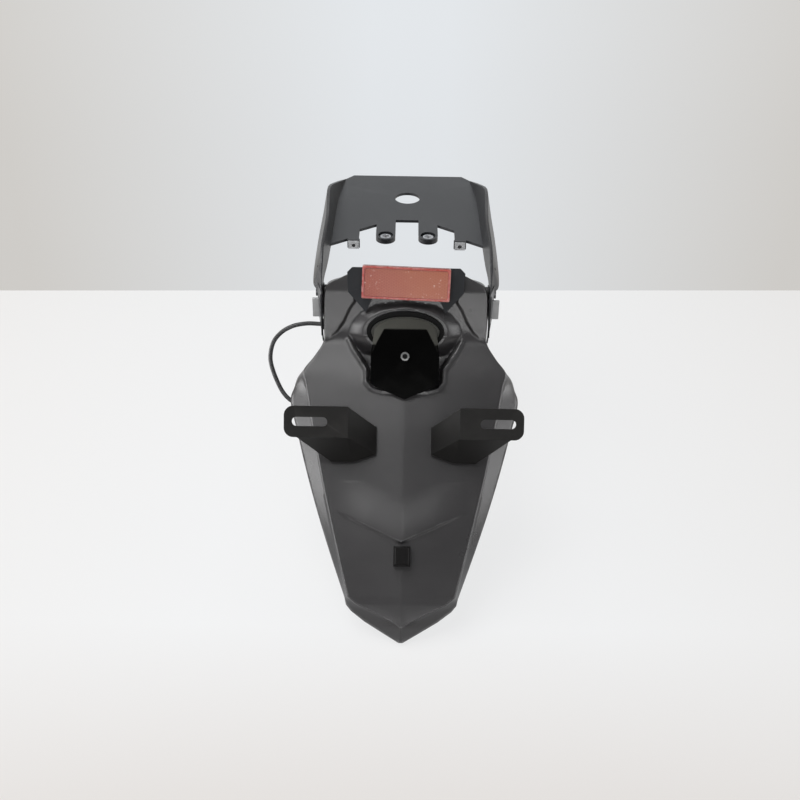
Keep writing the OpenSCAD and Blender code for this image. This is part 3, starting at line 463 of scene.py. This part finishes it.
def screwFinish():  # bright plated ring round the socket, whose inside is painted near black as shade
    material, tree, shader = startFinish("lampScrewPlate")
    axes = placeInPiece(tree, screwPlace)[1]
    across = addMath(tree, "POWER", axes[0], 2.0, (-850, 100))
    along = addMath(tree, "POWER", axes[1], 2.0, (-850, -50))
    away = addMath(tree, "SQRT", addMath(tree, "ADD", across, along, (-700, 50)), None, (-550, 50))
    ring = rangeNode(tree, away, 0.0024, 0.0028, 0, 1, (-400, 50))
    grain = placeGroup(tree, mouldGrain, (-900, -350), Size=900.0, Depth=0.3)
    slow = rangeNode(tree, grain.outputs["Drift"], 0.35, 0.65, 0, 1, (-600, -250))
    plated = mixColour(tree, slow, (0.2, 0.2, 0.2), (0.13, 0.13, 0.13), (-400, -150))
    # painted shade: the socket and a thin band round it are painted near black
    socketShadePainted = mixColour(tree, ring, (0.004, 0.004, 0.004), plated, (-200, 200))
    tree.links.new(socketShadePainted, shader.inputs["Base Color"])
    tree.links.new(rangeNode(tree, ring, 0, 1, 0.6, 0.34, (-200, 0)), shader.inputs["Roughness"])
    shader.inputs["Metallic"].default_value = 0.7
    addBump(tree, shader, grain.outputs["Height"], 0.2, 0.0002)
    return material


finishes["hood"] = hoodFinish()
finishes["lampScrew"] = screwFinish()


def windowFinish():
    material, tree, shader = startFinish("clearWindow")
    grain = placeGroup(tree, mouldGrain, (-900, -200), Size=300.0, Depth=0.2)
    tint = mixColour(tree, grain.outputs["Drift"], (0.86, 0.89, 0.9), (0.78, 0.8, 0.8), (-400, 200))
    tree.links.new(tint, shader.inputs["Base Color"])
    shader.inputs["Transmission Weight"].default_value = 1
    shader.inputs["Roughness"].default_value = 0.12
    shader.inputs["IOR"].default_value = 1.49
    addBump(tree, shader, grain.outputs["Height"], 0.1, 0.0002)
    return material


finishes["window"] = windowFinish()
print("finishes made")


# moulded and folded CAD nodes: welded corners, small rounds, better finishes
nodeSet = {
    "upper_tray": ("tray", 0.5), "reflector_bracket": ("bracket", 0.4), "reflector_base": ("redBack", 0.3),
    "lamp_gasket": ("rubber", 1.6), "lamp_base": ("olive", 0.35), "lamp_hood": ("hood", 0.7),
    "lamp_lens": ("window", 0.2), "lamp_board": ("board", 0.1), "lamp_screw": ("lampScrew", 0.4),
    "plate_stay_left": ("stay", 0.8), "plate_stay_right": ("stay", 0.8), "plate_rest": ("rest", 3.0),
    "tail_collar_left": ("zinc", 0.2), "tail_collar_right": ("zinc", 0.2),
    "clip_nut_left": ("spring", 0.15), "clip_nut_right": ("spring", 0.15),
    "side_clip_left": ("clip", 0.3), "side_clip_right": ("clip", 0.3),
    "side_bolts_left": ("dark", 0.3), "side_bolts_right": ("dark", 0.3),
    "side_nuts_left": ("zinc", 0.2), "side_nuts_right": ("zinc", 0.2),
    "reflector_nuts": ("zinc", 0.2), "stay_screws_left": ("dark", 0.4), "stay_screws_right": ("dark", 0.4),
    "stay_nuts_left": ("zinc", 0.2), "stay_nuts_right": ("zinc", 0.2),
    "lead_grommet": ("rubber", 0.4), "lead_connector": ("socket", 0.5),
}


def smoothByAngle(mesh, degrees):
    mesh.polygons.foreach_set("use_smooth", [True] * len(mesh.polygons))
    mesh.set_sharp_from_angle(angle=math.radians(degrees))


# weld, a small round on the corners and even shading, then the finish
def dressPiece(piece, finish, roundSize):
    join = piece.modifiers.new("weld", "WELD")
    join.merge_threshold = 0.00001
    rounded = piece.modifiers.new("rounded", "BEVEL")
    rounded.width = roundSize / 1000
    rounded.segments = 4 if roundSize > 1 else 2
    rounded.limit_method = "ANGLE"
    rounded.angle_limit = math.radians(38)
    rounded.use_clamp_overlap = True
    shade = piece.modifiers.new("shade", "WEIGHTED_NORMAL")
    shade.weight = 100
    shade.keep_sharp = True
    piece.data.materials.clear()
    piece.data.materials.append(finishes[finish])


for name, (finish, roundSize) in nodeSet.items():
    smoothByAngle(nodes[name].data, 38)
    dressPiece(nodes[name], finish, roundSize)
leadCord.data.materials.append(finishes["lead"])
print("CAD nodes dressed")

# the rear shell, on a finer grid than its solid
shellSet = {
    "bodyWide": 83.0, "topWide": 60.0, "faceLong": 61.0, "sideDeep": 38.0,
    "panelLong": 305.5, "faceHalf": 102.5, "skirtHalf": 115.0, "tailFaceHalf": 52.5, "tailHalf": 55.5,
    "bow": 2.8, "ridge": 4.0, "skirtDeep": 13.0, "thick": 3.0,
    "shoulderAt": 38.0, "flareAt": 68.0, "pointAt": 262.5,
    "rowGap": 1.25, "wideGap": 3.0, "flatColumns": 86,
    "lampPad": 8.0, "lampUp": 6.0, "ringHalf": (42.5, 23.5), "pocketDeep": 17.0, "lipRound": 2.6,
    "lipRise": 1.5,
    "shoulderRise": 2.4, "stepRise": 2.6, "stepDrop": 1.8, "panelRound": 3.2, "bodyRound": 1.4,
}


def mixValue(a, b, f):
    return a + (b - a) * f


def facePlace(s):
    up = slopeAxes(bodySlope)[0]
    return [jointY + s * up[1], jointZ + s * up[2]]


def panelPlace(t):
    up = slopeAxes(panelSlope)[0]
    return [jointY - t * up[1], jointZ - t * up[2]]


# each row: y, z, slope, face half width, skirt half width, edge drop, skirt drop, ridge, distance up or down
def shellRows():
    v = shellSet
    b, top, face, skirt = v["bodyWide"], v["topWide"], v["faceHalf"], v["skirtHalf"]
    long, deep, side, ridge, thick = v["faceLong"], v["skirtDeep"], v["sideDeep"], v["ridge"], v["thick"]

    def faceHalf(t):
        f = (t - v["shoulderAt"]) / (v["pointAt"] - v["shoulderAt"])
        return mixValue(face, v["tailFaceHalf"], f) + v["bow"] * math.sin(math.pi * f)

    def skirtHalf(t):
        f = (t - v["flareAt"]) / (v["pointAt"] - v["flareAt"])
        return mixValue(skirt, v["tailHalf"], f) + 1.3 * v["bow"] * math.sin(math.pi * f)

    y, z = facePlace(long)
    rows = [
        [y + 5, z - 1.2, 25, top - 3, top - 3, 0, thick + 0.6, 0, long + 5],
        [y + 1, z, 48, top, top, 0, thick + 2, 0, long + 1],
        [*facePlace(long - 4), 67, top + 8, top + 8, 0, 9, 0, long - 4],
        [*facePlace(long - 9), bodySlope, b - 5.5, b - 5.5, 0, 16, 0, long - 9],
        [*facePlace(long - 15), bodySlope, b - 1.5, b - 1.5, 0, 24, 0, long - 15],
        [*facePlace(long - 25), bodySlope, b, b, 0, side, 0, long - 25],
        [*facePlace(long - 43), bodySlope, b, b, 0, side, 0, long - 43],
        [*facePlace(5), bodySlope - 2, b - 0.3, b, 0, side, 0, 5],
        [*panelPlace(4), mixValue(panelSlope, bodySlope, 0.3), b - 0.5, b, 0, 0.95 * side, 0.5, -4],
        [*panelPlace(12), panelSlope, mixValue(b, face, 0.1), mixValue(b, face, 0.16), 0, 32, 1, -12],
        [*panelPlace(24), panelSlope, mixValue(b, face, 0.5), mixValue(b, face, 0.62), 0, 25, 0.5 * ridge, -24],
        [*panelPlace(38), panelSlope, face, mixValue(face, skirt, 0.4), 0, 18, 0.8 * ridge, -38],
        [*panelPlace(52), panelSlope, faceHalf(52), mixValue(face, skirt, 0.76), 0, deep + 2, ridge, -52],
    ]
    for t in (v["flareAt"], 100, 140, 180, 220, v["pointAt"]):
        rows.append([*panelPlace(t), panelSlope, faceHalf(t), skirtHalf(t), 0, deep, ridge, -t])
    steps = []
    for a, b2 in zip(rows, rows[1:]):
        gap = abs(a[8] - b2[8])
        fine = a[8] > -68 or -222 < b2[8] < -178
        steps.append(max(2, round(gap / (v["rowGap"] if fine else v["wideGap"]))))
    rows = smoothRows(rows, steps)
    end, half, tail = v["panelLong"], v["tailFaceHalf"], v["tailHalf"]
    tip = [
        [end - 36, 0.84 * half, 0.97 * tail, 0, deep, 0.9 * ridge],
        [end - 30, 0.6 * half, 0.88 * tail, 0, deep, 0.7 * ridge],
        [end - 20, 0.22 * half, 0.64 * tail, 0, deep, 0.3 * ridge], [end - 14, 1.2, 0.46 * tail, 0, deep, 0],
        [end - 7, 1.2, 0.25 * tail, deep / 2 - 0.5, deep + 1, 0], [end, 1.2, 2, deep - 1, deep + thick, 0],
    ]
    last = rows[-1]
    for t, w, wo, d0, d, rise in tip:
        new = np.array([*panelPlace(t), panelSlope, w, wo, d0, d, rise, -t])
        for k in range(1, 5):
            rows.append(last + (new - last) * k / 4)
        last = new
    return np.array(rows)


def softStep(x, low, high):
    f = np.clip((x - low) / (high - low), 0, 1)
    return f * f * (3 - 2 * f)


def outlineDistance(px, py, corners):  # signed distance to a closed outline, positive inside
    near = np.full(px.shape, 1e9)
    inside = np.zeros(px.shape, bool)
    for (ax, ay), (bx, by) in zip(corners, corners[1:] + corners[:1]):
        ex, ey = bx - ax, by - ay
        f = np.clip(((px - ax) * ex + (py - ay) * ey) / (ex * ex + ey * ey), 0, 1)
        near = np.minimum(near, np.hypot(px - ax - f * ex, py - ay - f * ey))
        crosses = ((ay > py) != (by > py)) & (px < ex * (py - ay) / (ey if ey else 1e-9) + ax)
        inside ^= crosses
    return np.where(inside, near, -near)


def lineDistance(px, py, points):  # signed distance to an open line, positive on its left
    near = np.full(px.shape, 1e9)
    sign = np.ones(px.shape)
    for (ax, ay), (bx, by) in zip(points, points[1:]):
        ex, ey = bx - ax, by - ay
        f = np.clip(((px - ax) * ex + (py - ay) * ey) / (ex * ex + ey * ey), 0, 1)
        d = np.hypot(px - ax - f * ex, py - ay - f * ey)
        side = np.sign(ex * (py - ay) - ey * (px - ax))
        closer = d < near
        near = np.where(closer, d, near)
        sign = np.where(closer, side, sign)
    return near * sign


pocketOutline = [
    (-61, 10), (-60, 3), (-51.5, -14.7), (-38, -36), (-37.6, -49), (-33, -55), (-22, -58),
    (22, -58), (33, -55), (37.6, -49), (38, -36), (51.5, -14.7), (60, 3), (61, 10),
]
neckOutline = [
    (-42, -20), (-54, -8), (-58, 3), (-55, 12), (-46, 22), (-30, 31), (0, 35.5),
    (30, 31), (46, 22), (55, 12), (58, 3), (54, -8), (42, -20), (0, -24),
]
shoulderLine = [(50, 52), (50, 34), (55.5, 26), (61, 13.6), (68.5, 1.8), (77, -6.5), (88, -12)]
stepLine = [(-67, -179), (-1, -210), (65, -179)]


def neckShare(x, y):  # 0 on the rear face to 1 on the lamp's pad
    cx, cy = x, y - shellSet["lampUp"]
    angle = np.arctan2(cy, cx)
    samples = np.linspace(-math.pi, math.pi, 721)
    reach = np.zeros(721)
    for i, a in enumerate(samples):
        c, s = math.cos(a), math.sin(a)
        for (ax, ay), (bx, by) in zip(neckOutline, neckOutline[1:] + neckOutline[:1]):
            ay, by = ay - shellSet["lampUp"], by - shellSet["lampUp"]
            det = c * (by - ay) - s * (bx - ax)
            if abs(det) < 1e-9:
                continue
            r = (ax * (by - ay) - ay * (bx - ax)) / det
            k = (ax * s - ay * c) / det
            if r > 0 and -1e-6 <= k <= 1 + 1e-6:
                reach[i] = max(reach[i], r)
    outer = np.interp(angle, samples, reach)
    a, b = shellSet["ringHalf"]
    inner = np.minimum(1 / np.sqrt((np.cos(angle) / a) ** 2 + (np.sin(angle) / b) ** 2), outer - 1.5)
    r = np.hypot(cx, cy)
    f = np.clip((outer - r) / (outer - inner), 0, 1)
    return 0.75 * f + 0.25 * f * f * (3 - 2 * f)


def buildShell():
    v = shellSet
    rows = shellRows()
    flat = v["flatColumns"]
    half = []
    w, wo, d0, d, ridge = (rows[:, i] for i in (3, 4, 5, 6, 7))
    soft = mixValue(v["panelRound"], v["bodyRound"], softStep(rows[:, 8], -34, -10))
    e = np.minimum(np.minimum(soft, 0.3 * w), 0.4 * (d - d0))
    for k in range(flat + 1):
        f = k / flat
        half.append((f * (w - e), d0 - ridge * (1 - math.sqrt(f * f + 0.0009) / math.sqrt(1.0009))))
    for k in range(1, 6):
        f = k / 5
        half.append((w - e * (1 - f) ** 2, d0 + e * f**2))
    for k in range(1, 7):
        f = k / 6
        half.append((mixValue(w, wo, f), mixValue(d0 + e, d, f)))
    xs = np.array([p[0] for p in half]).T
    ds = np.array([p[1] for p in half]).T
    xs = np.hstack([-xs[:, :0:-1], xs])
    ds = np.hstack([ds[:, :0:-1], ds])
    slope = np.radians(rows[:, 2])[:, None]
    ys = rows[:, 0][:, None] + np.sin(slope) * ds
    zs = rows[:, 1][:, None] - np.cos(slope) * ds
    along = np.repeat(rows[:, 8][:, None], xs.shape[1], 1)
    onFlat = np.abs(np.arange(xs.shape[1]) - (xs.shape[1] - 1) / 2)[None, :] <= flat
    faceUp, faceOut = slopeAxes(bodySlope)
    panelUp = slopeAxes(panelSlope)[0]
    midOut = slopeAxes((bodySlope + panelSlope) / 2)[1]
    dy, dz = ys - jointY, zs - jointZ
    # the pocket under the lamp
    panelY = dy * panelUp[1] + dz * panelUp[2]
    inside = outlineDistance(xs, np.where(along > 0, 9.9, panelY), pocketOutline)
    toFace = -(dy * faceOut[1] + dz * faceOut[2]) / float(faceOut @ midOut)
    deep = np.maximum(np.minimum(toFace, 0), -v["pocketDeep"])
    mask = softStep(inside, -0.4, v["lipRound"])
    sink = np.where(along < 3, mask * deep, 0)
    lip = np.where((along < -4), v["lipRise"] * np.exp(-((inside + 1.6) / 1.7) ** 2), 0)
    fy, fz = dy + midOut[1] * sink, dz + midOut[2] * sink
    faceY = fy * faceUp[1] + fz * faceUp[2]
    neck = neckShare(xs, faceY)
    # shoulders on the rear face, and the chevron step across the panel
    side = lineDistance(np.abs(xs), faceY, shoulderLine)
    alongFace = softStep(faceY, -9, 6) * softStep(-faceY, -58, -44)
    shoulder = v["shoulderRise"] * softStep(side, -0.4, 3.2) * alongFace
    shoulder = np.where(along > -14, shoulder, 0)
    across = lineDistance(xs, panelY, stepLine)
    fade = softStep(-np.abs(xs), -68, -30)
    drop = softStep(across, -0.8 * v["stepDrop"], 0.2 * v["stepDrop"])
    step = v["stepRise"] * fade * drop * softStep(-across, -40, 0)
    step = np.where((along < -150) & (along > -225), step, 0)
    ns = np.sin(slope), np.cos(slope)
    small = (shoulder + lip + step) * onFlat
    big = sink * onFlat
    pad = neck * v["lampPad"] * onFlat
    ys = ys + midOut[1] * big - ns[0] * small + faceOut[1] * pad
    zs = zs + midOut[2] * big + ns[1] * small + faceOut[2] * pad
    points = np.stack([xs, ys, zs + lift], -1) / 1000
    count, wide = xs.shape
    verts = [tuple(p) for p in points.reshape(-1, 3)]
    faces = []
    for r in range(count - 1):
        for c in range(wide - 1):
            a = r * wide + c
            faces.append((a, a + 1, a + wide + 1, a + wide))
    mesh = bpy.data.meshes.new("rearShell")
    mesh.from_pydata(verts, [], faces)
    mesh.validate()
    piece = bpy.data.objects.new("rearShell", mesh)
    scene.collection.objects.link(piece)
    if mesh.polygons[flat].normal.z < 0:
        mesh.flip_normals()
    wall = piece.modifiers.new("wall", "SOLIDIFY")
    wall.thickness = v["thick"] / 1000
    wall.offset = -1
    smoothByAngle(mesh, 44)
    mesh.materials.append(finishes["shell"])
    return piece


rearShell = buildShell()
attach(rearShell, "root")
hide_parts("rear_shell")
print("rear shell built,", len(rearShell.data.polygons), "faces")

# bosses and seats inside the shell
bossSet = {
    "stayAt": [(45, 105), (61, 119)], "studAt": (24, 55), "sideAt": [(-70, -29), (-75, -45)],
    "sideIn": 74, "sideOut": 83.78, "restDown": 224, "sunk": 4, "restSunk": 3,
    "stayWide": 15, "sideWide": 13, "restWide": 12, "stayHigh": 7.2, "studHigh": 6, "restHigh": 7.2,
}


# turned piece: profile is (radius, height) in millimetres, drawn at each place
def lathePiece(name, profile, matrices, finish, sides=40):
    bm = bmesh.new()
    for place in matrices:
        rings = []
        for radius, height in profile:
            turns = (2 * math.pi * k / sides for k in range(sides))
            ring = [Vector((radius * math.cos(a), radius * math.sin(a), height)) / 1000 for a in turns]
            rings.append([bm.verts.new(place @ point) for point in ring])
        for low, high in zip(rings, rings[1:]):
            for k in range(sides):
                bm.faces.new((low[k], low[(k + 1) % sides], high[(k + 1) % sides], high[k]))
        bm.faces.new(rings[-1])
        bm.faces.new(rings[0][::-1])
    mesh = bpy.data.meshes.new(name)
    bm.to_mesh(mesh)
    bm.free()
    piece = bpy.data.objects.new(name, mesh)
    scene.collection.objects.link(piece)
    smoothByAngle(mesh, 35)
    mesh.materials.append(finishes[finish])
    return piece


def bossProfile(wide, high, root, top=0.4):  # root and top are the small bevels at its two ends
    r = wide / 2
    return [(r - root, 0), (r, root), (r, high - top), (r - top, high)]


sunk = bossSet["sunk"]
bossPlaces = [slopeMatrix(panelSlope, (s * x, -y, -sunk)) for s in (-1, 1) for x, y in bossSet["stayAt"]]
stayProfile = bossProfile(bossSet["stayWide"], bossSet["stayHigh"], 0.6)
stayBosses = lathePiece("stayBosses", stayProfile, bossPlaces, "shell")
studX, studY = bossSet["studAt"]
facePlaces = [slopeMatrix(bodySlope, (s * studX, studY, -sunk)) for s in (-1, 1)]
studProfile = bossProfile(bossSet["stayWide"], bossSet["studHigh"], 0.6)
studBosses = lathePiece("studBosses", studProfile, facePlaces, "shell")
restPlace = slopeMatrix(panelSlope, (0, -bossSet["restDown"], -bossSet["restSunk"]))
restProfile = bossProfile(bossSet["restWide"], bossSet["restHigh"], 0.5)
restBoss = lathePiece("restBoss", restProfile, [restPlace], "shell")
sidePlaces = []
for s in (-1, 1):
    for y, z in bossSet["sideAt"]:
        turn = Matrix.Rotation(math.radians(90 * s), 4, "Y")
        turn.translation = Vector((s * bossSet["sideIn"], y, z + lift)) / 1000
        sidePlaces.append(turn)
sideLong = bossSet["sideOut"] - bossSet["sideIn"]
sideBosses = lathePiece("sideBosses", bossProfile(bossSet["sideWide"], sideLong, 0.4), sidePlaces, "shell")
for piece in (stayBosses, studBosses, restBoss, sideBosses):
    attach(piece, "root")
print("bosses turned")

# the reflector's lens
reflectorSet = {
    "wide": 88.0, "high": 33.0, "deep": 6.0, "up": 55.0, "off": 4.5, "turn": 1.8,
    "border": 2.6, "sunk": 0.6, "corner": 1.6,
}
reflectorTurn = Matrix.Rotation(math.radians(-reflectorSet["turn"]), 4, "Z")
reflectorPlace = slopeMatrix(bodySlope, (0, reflectorSet["up"], reflectorSet["off"])) @ reflectorTurn


def roundedLoop(w, h, r, z, steps=5):
    out = []
    for cx, cy, start in ((w - r, h - r, 0), (r - w, h - r, 90), (r - w, r - h, 180), (w - r, r - h, 270)):
        for k in range(steps + 1):
            a = math.radians(start + 90 * k / steps)
            out.append((cx + r * math.cos(a), cy + r * math.sin(a), z))
    return out


def loopPiece(name, loops, place, closeEnds=True):  # skin over equal loops of points, in millimetres
    bm = bmesh.new()
    rings = [[bm.verts.new(place @ (Vector(p) / 1000)) for p in loop] for loop in loops]
    n = len(rings[0])
    for low, high in zip(rings, rings[1:]):
        for k in range(n):
            bm.faces.new((low[k], low[(k + 1) % n], high[(k + 1) % n], high[k]))
    if closeEnds:
        bm.faces.new(rings[-1])
        bm.faces.new(rings[0][::-1])
    mesh = bpy.data.meshes.new(name)
    bm.to_mesh(mesh)
    bm.free()
    piece = bpy.data.objects.new(name, mesh)
    scene.collection.objects.link(piece)
    return piece


def buildReflector():
    v = reflectorSet
    w, h, low, top = v["wide"] / 2, v["high"] / 2, 1.5, 3 + v["deep"]
    r, b = v["corner"], v["border"]
    loops = [
        roundedLoop(w - 0.4, h - 0.4, r, low), roundedLoop(w, h, r, low + 0.4), roundedLoop(w, h, r, top - 0.8),
        roundedLoop(w - 0.25, h - 0.25, r, top - 0.25), roundedLoop(w - 0.8, h - 0.8, r, top),
        roundedLoop(w - b + 0.4, h - b + 0.4, r, top), roundedLoop(w - b, h - b, r, top - v["sunk"]),
    ]
    piece = loopPiece("reflectorLens", loops, reflectorPlace)
    smoothByAngle(piece.data, 40)
    return piece


# faded red to orange, with a scuffed rim whose whitish corners are wear and partly painted highlight, or over
# rows of small prisms with painted glints
def reflectorFinish(name, red, orange, prisms=False):
    material, tree, shader = startFinish(name)
    point, axes = placeInPiece(tree, reflectorPlace)
    grain = placeGroup(tree, mouldGrain, (-1100, -500), Size=260.0, Depth=0.4)
    cloud = addNode(tree, "ShaderNodeTexNoise", (-1100, 300))
    cloud.inputs["Scale"].default_value = 70
    cloud.inputs["Detail"].default_value = 6
    tree.links.new(point, cloud.inputs["Vector"])
    sway = addMath(tree, "MULTIPLY", cloud.outputs[0], 0.045, (-900, 200))
    shift = addMath(tree, "ADD", axes[0], sway, (-750, 200))
    across = rangeNode(tree, shift, -0.03, 0.04, 0, 1, (-600, 200))
    base = mixColour(tree, across, red, orange, (-400, 300))
    # whitish corners: edge wear, and partly a painted highlight along the rim
    edges = placeGroup(tree, edgeRubAndHighlight, (-900, 450), Amount=0.55, Breaks=260.0)
    wornAndHighlit = mixColour(tree, edges.outputs["Mask"], base, (0.62, 0.5, 0.46), (-200, 300))
    if prisms:
        waves = []
        for i, angle in enumerate((0, 60, 120)):
            c, s = math.cos(math.radians(angle)), math.sin(math.radians(angle))
            row = addMath(tree, "ADD", addMath(tree, "MULTIPLY", axes[0], c, (-900, -150 * i)),
                          addMath(tree, "MULTIPLY", axes[1], s, (-900, -80 - 150 * i)), (-750, -150 * i))
            waves.append(addMath(tree, "PINGPONG", row, 0.0012, (-600, -150 * i)))
        lower = addMath(tree, "MINIMUM", waves[0], waves[1], (-450, -100))
        relief = addMath(tree, "MINIMUM", lower, waves[2], (-300, -150))
        # painted glint: the middle of each prism is painted a lighter orange
        prismGlint = rangeNode(tree, relief, 0.0001, 0.0009, 0, 1, (-300, 100))
        bright = addMath(tree, "MULTIPLY", prismGlint, 0.25, (-150, 100))
        glintPainted = mixColour(tree, bright, wornAndHighlit, (0.5, 0.19, 0.1), (-50, 300))
        scuff = addNode(tree, "ShaderNodeTexNoise", (-1100, 700))
        scuff.inputs["Scale"].default_value = 420
        scuff.inputs["Detail"].default_value = 7
        tree.links.new(point, scuff.inputs["Vector"])
        marks = addMath(tree, "MULTIPLY", rangeNode(tree, scuff.outputs[0], 0.6, 0.8, 0, 1, (-900, 700)),
                        rangeNode(tree, cloud.outputs[0], 0.5, 0.62, 0, 0.8, (-900, 600)), (-700, 700))
        scuffed = mixColour(tree, marks, glintPainted, (0.75, 0.6, 0.52), (100, 300))
        tree.links.new(scuffed, shader.inputs["Base Color"])
        height = addMath(tree, "MULTIPLY", relief, 900.0, (-300, -350))
        addBump(tree, shader, height, 0.22, 0.0006, (-150, -350))
    else:
        tree.links.new(wornAndHighlit, shader.inputs["Base Color"])
        addBump(tree, shader, grain.outputs["Height"], 0.25, 0.0003, (-150, -350))
    matt = rangeNode(tree, grain.outputs["Drift"], 0.3, 0.7, 0.34, 0.52, (-400, 0))
    tree.links.new(matt, shader.inputs["Roughness"])
    shader.inputs["Coat Weight"].default_value = 0.12
    shader.inputs["Coat Roughness"].default_value = 0.2
    return material


reflectorLens = buildReflector()
# the lens sides get a darker red than the rim: painted shade on the sides
for name, red, orange, prisms in [
    ("reflectorSideShade", (0.12, 0.008, 0.007), (0.14, 0.012, 0.01), False),
    ("reflectorRim", (0.27, 0.016, 0.011), (0.3, 0.03, 0.018), False),
    ("reflectorPrisms", (0.2, 0.023, 0.0115), (0.25, 0.055, 0.019), True),
]:
    reflectorLens.data.materials.append(reflectorFinish(name, red, orange, prisms))
facing = slopeAxes(bodySlope)[1]
for face in reflectorLens.data.polygons:
    if float(np.array(face.normal) @ facing) > 0.6:
        face.material_index = 1
max(reflectorLens.data.polygons, key=lambda p: p.area if p.normal.y < 0 else 0).material_index = 2
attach(reflectorLens, "root")
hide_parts("reflector_lens")
print("reflector built")

# table, backdrop, lamps and sky
stageSet = {
    "floorLow": 0.002, "cardDim": 0.4, "farEdge": 0.366, "edgeTurn": 0.0315, "sideFrom": 0.2, "sideTo": 0.75,
    "nearFrom": -0.62, "nearTo": -0.3, "wallBack": 1.5, "glowShare": 0.8,
    "tableReach": 6, "wallReach": 9, "wallLow": -3, "wallHigh": 6,
    # the near and side colours are painted shade: the table and backdrop get darker towards the front and the
    # sides
    "near": (0.75, 0.705, 0.67), "middle": (0.925, 0.93, 0.935), "tableSideShade": (0.86, 0.845, 0.83),
    "wall": (0.87, 0.9, 0.93), "wallSideShade": (0.73, 0.71, 0.68),
}
floorZ = cadBox[0][2] - stageSet["floorLow"]


# shows its colour to the camera and mirrors, and lights the part as pale card; the colour is painted darker
# towards the near edge and the sides, as painted shade where less light falls
def stageFinish(name, near, far, side, lowY, highY, sideFrom, sideTo):
    material = bpy.data.materials.new(name)
    material.use_nodes = True
    tree = material.node_tree
    tree.nodes.clear()
    end = addNode(tree, "ShaderNodeOutputMaterial", (600, 0))
    where = addNode(tree, "ShaderNodeTexCoord", (-800, 0))
    split = addNode(tree, "ShaderNodeSeparateXYZ", (-600, 0))
    tree.links.new(where.outputs["Object"], split.inputs[0])
    share = rangeNode(tree, split.outputs[1], lowY, highY, 0, 1, (-400, 0))
    middle = mixColour(tree, share, near, far, (-300, 0))
    distance = addMath(tree, "ABSOLUTE", split.outputs[0], None, (-600, -200))
    aside = rangeNode(tree, distance, sideFrom, sideTo, 0, 1, (-400, -200))
    colour = mixColour(tree, addMath(tree, "MULTIPLY", aside, share, (-250, -200)), middle, side, (-100, 0))
    glow = addNode(tree, "ShaderNodeEmission", (50, 100))
    tree.links.new(colour, glow.inputs[0])
    card = addNode(tree, "ShaderNodeBsdfDiffuse", (50, -100))
    tree.links.new(mixColour(tree, stageSet["cardDim"], colour, (0, 0, 0), (-150, -150)), card.inputs[0])
    rays = addNode(tree, "ShaderNodeLightPath", (-400, 400))
    seen = addMath(tree, "ADD", rays.outputs["Is Camera Ray"], rays.outputs["Is Glossy Ray"], (-200, 400), True)
    seen = addMath(tree, "ADD", seen, rays.outputs["Is Transmission Ray"], (0, 400), True)
    blend = addNode(tree, "ShaderNodeMixShader", (350, 0))
    tree.links.new(addMath(tree, "MULTIPLY", seen, stageSet["glowShare"], (150, 400)), blend.inputs[0])
    tree.links.new(card.outputs[0], blend.inputs[1])
    tree.links.new(glow.outputs[0], blend.inputs[2])
    tree.links.new(blend.outputs[0], end.inputs[0])
    return material


def stageSheet(name, corners, material):
    mesh = bpy.data.meshes.new(name)
    mesh.from_pydata(corners, [], [tuple(range(len(corners)))])
    sheet = bpy.data.objects.new(name, mesh)
    scene.collection.objects.link(sheet)
    mesh.materials.append(material)
    return sheet


reach, aside = stageSet["tableReach"], stageSet["wallReach"]
far, turned = stageSet["farEdge"], reach * stageSet["edgeTurn"]
near = [(-reach, -reach, floorZ), (reach, -reach, floorZ)]
stageSheet("table", [*near, (reach, far + turned, floorZ), (-reach, far - turned, floorZ)],
           stageFinish("tableCard", stageSet["near"], stageSet["middle"], stageSet["tableSideShade"],
                       stageSet["nearFrom"], stageSet["nearTo"], stageSet["sideFrom"], stageSet["sideTo"]))
back = far + stageSet["wallBack"]
low, high = stageSet["wallLow"], stageSet["wallHigh"]
stageSheet("wall", [(-aside, back, low), (aside, back, low), (aside, back, high), (-aside, back, high)],
           stageFinish("wallCard", stageSet["wall"], stageSet["wall"], stageSet["wallSideShade"], 0, 1, 0.1, 1.1))

# soft boxes: name, middle, size across, size along, power, place that it faces
lampSet = [
    ("boxLeft", (-0.68, -0.27, 1.5), 1.3, 1.45, 32, (-0.68, -0.27, 0)),
    ("boxLow", (0.0, -2.4, 0.18), 2.1, 0.5, 21, (0, -0.1, -0.05)),
    ("boxSideLeft", (-1.5, -0.2, 0.14), 1.4, 0.78, 22, (0, -0.1, -0.1)),
    ("boxSideRight", (1.5, -0.2, 0.14), 1.4, 0.78, 15, (0, -0.1, -0.1)),
]
for name, place, wide, long, power, aim in lampSet:
    lampData = bpy.data.lights.new(name, "AREA")
    lampData.shape = "RECTANGLE"
    lampData.size = wide
    lampData.size_y = long
    lampData.energy = power
    lamp = bpy.data.objects.new(name, lampData)
    scene.collection.objects.link(lamp)
    lamp.location = place
    lamp.visible_camera = False
    lamp.rotation_euler = (Vector(aim) - Vector(place)).to_track_quat("-Z", "Y").to_euler()

world = bpy.data.worlds.new("studio")
scene.world = world
world.use_nodes = True
skySet = {"light": 0.23, "seen": 0.86, "colour": (0.88, 0.9, 0.92)}
skyTree = world.node_tree
sky = skyTree.nodes["Background"]
sky.inputs[0].default_value = (*skySet["colour"], 1)
skyRays = addNode(skyTree, "ShaderNodeLightPath", (-400, 200))
plain = skySet["seen"] - skySet["light"]
shown = addMath(skyTree, "MULTIPLY", skyRays.outputs["Is Camera Ray"], plain, (-200, 200))
skyTree.links.new(addMath(skyTree, "ADD", shown, skySet["light"], (-50, 200)), sky.inputs[1])
print("stage lit")
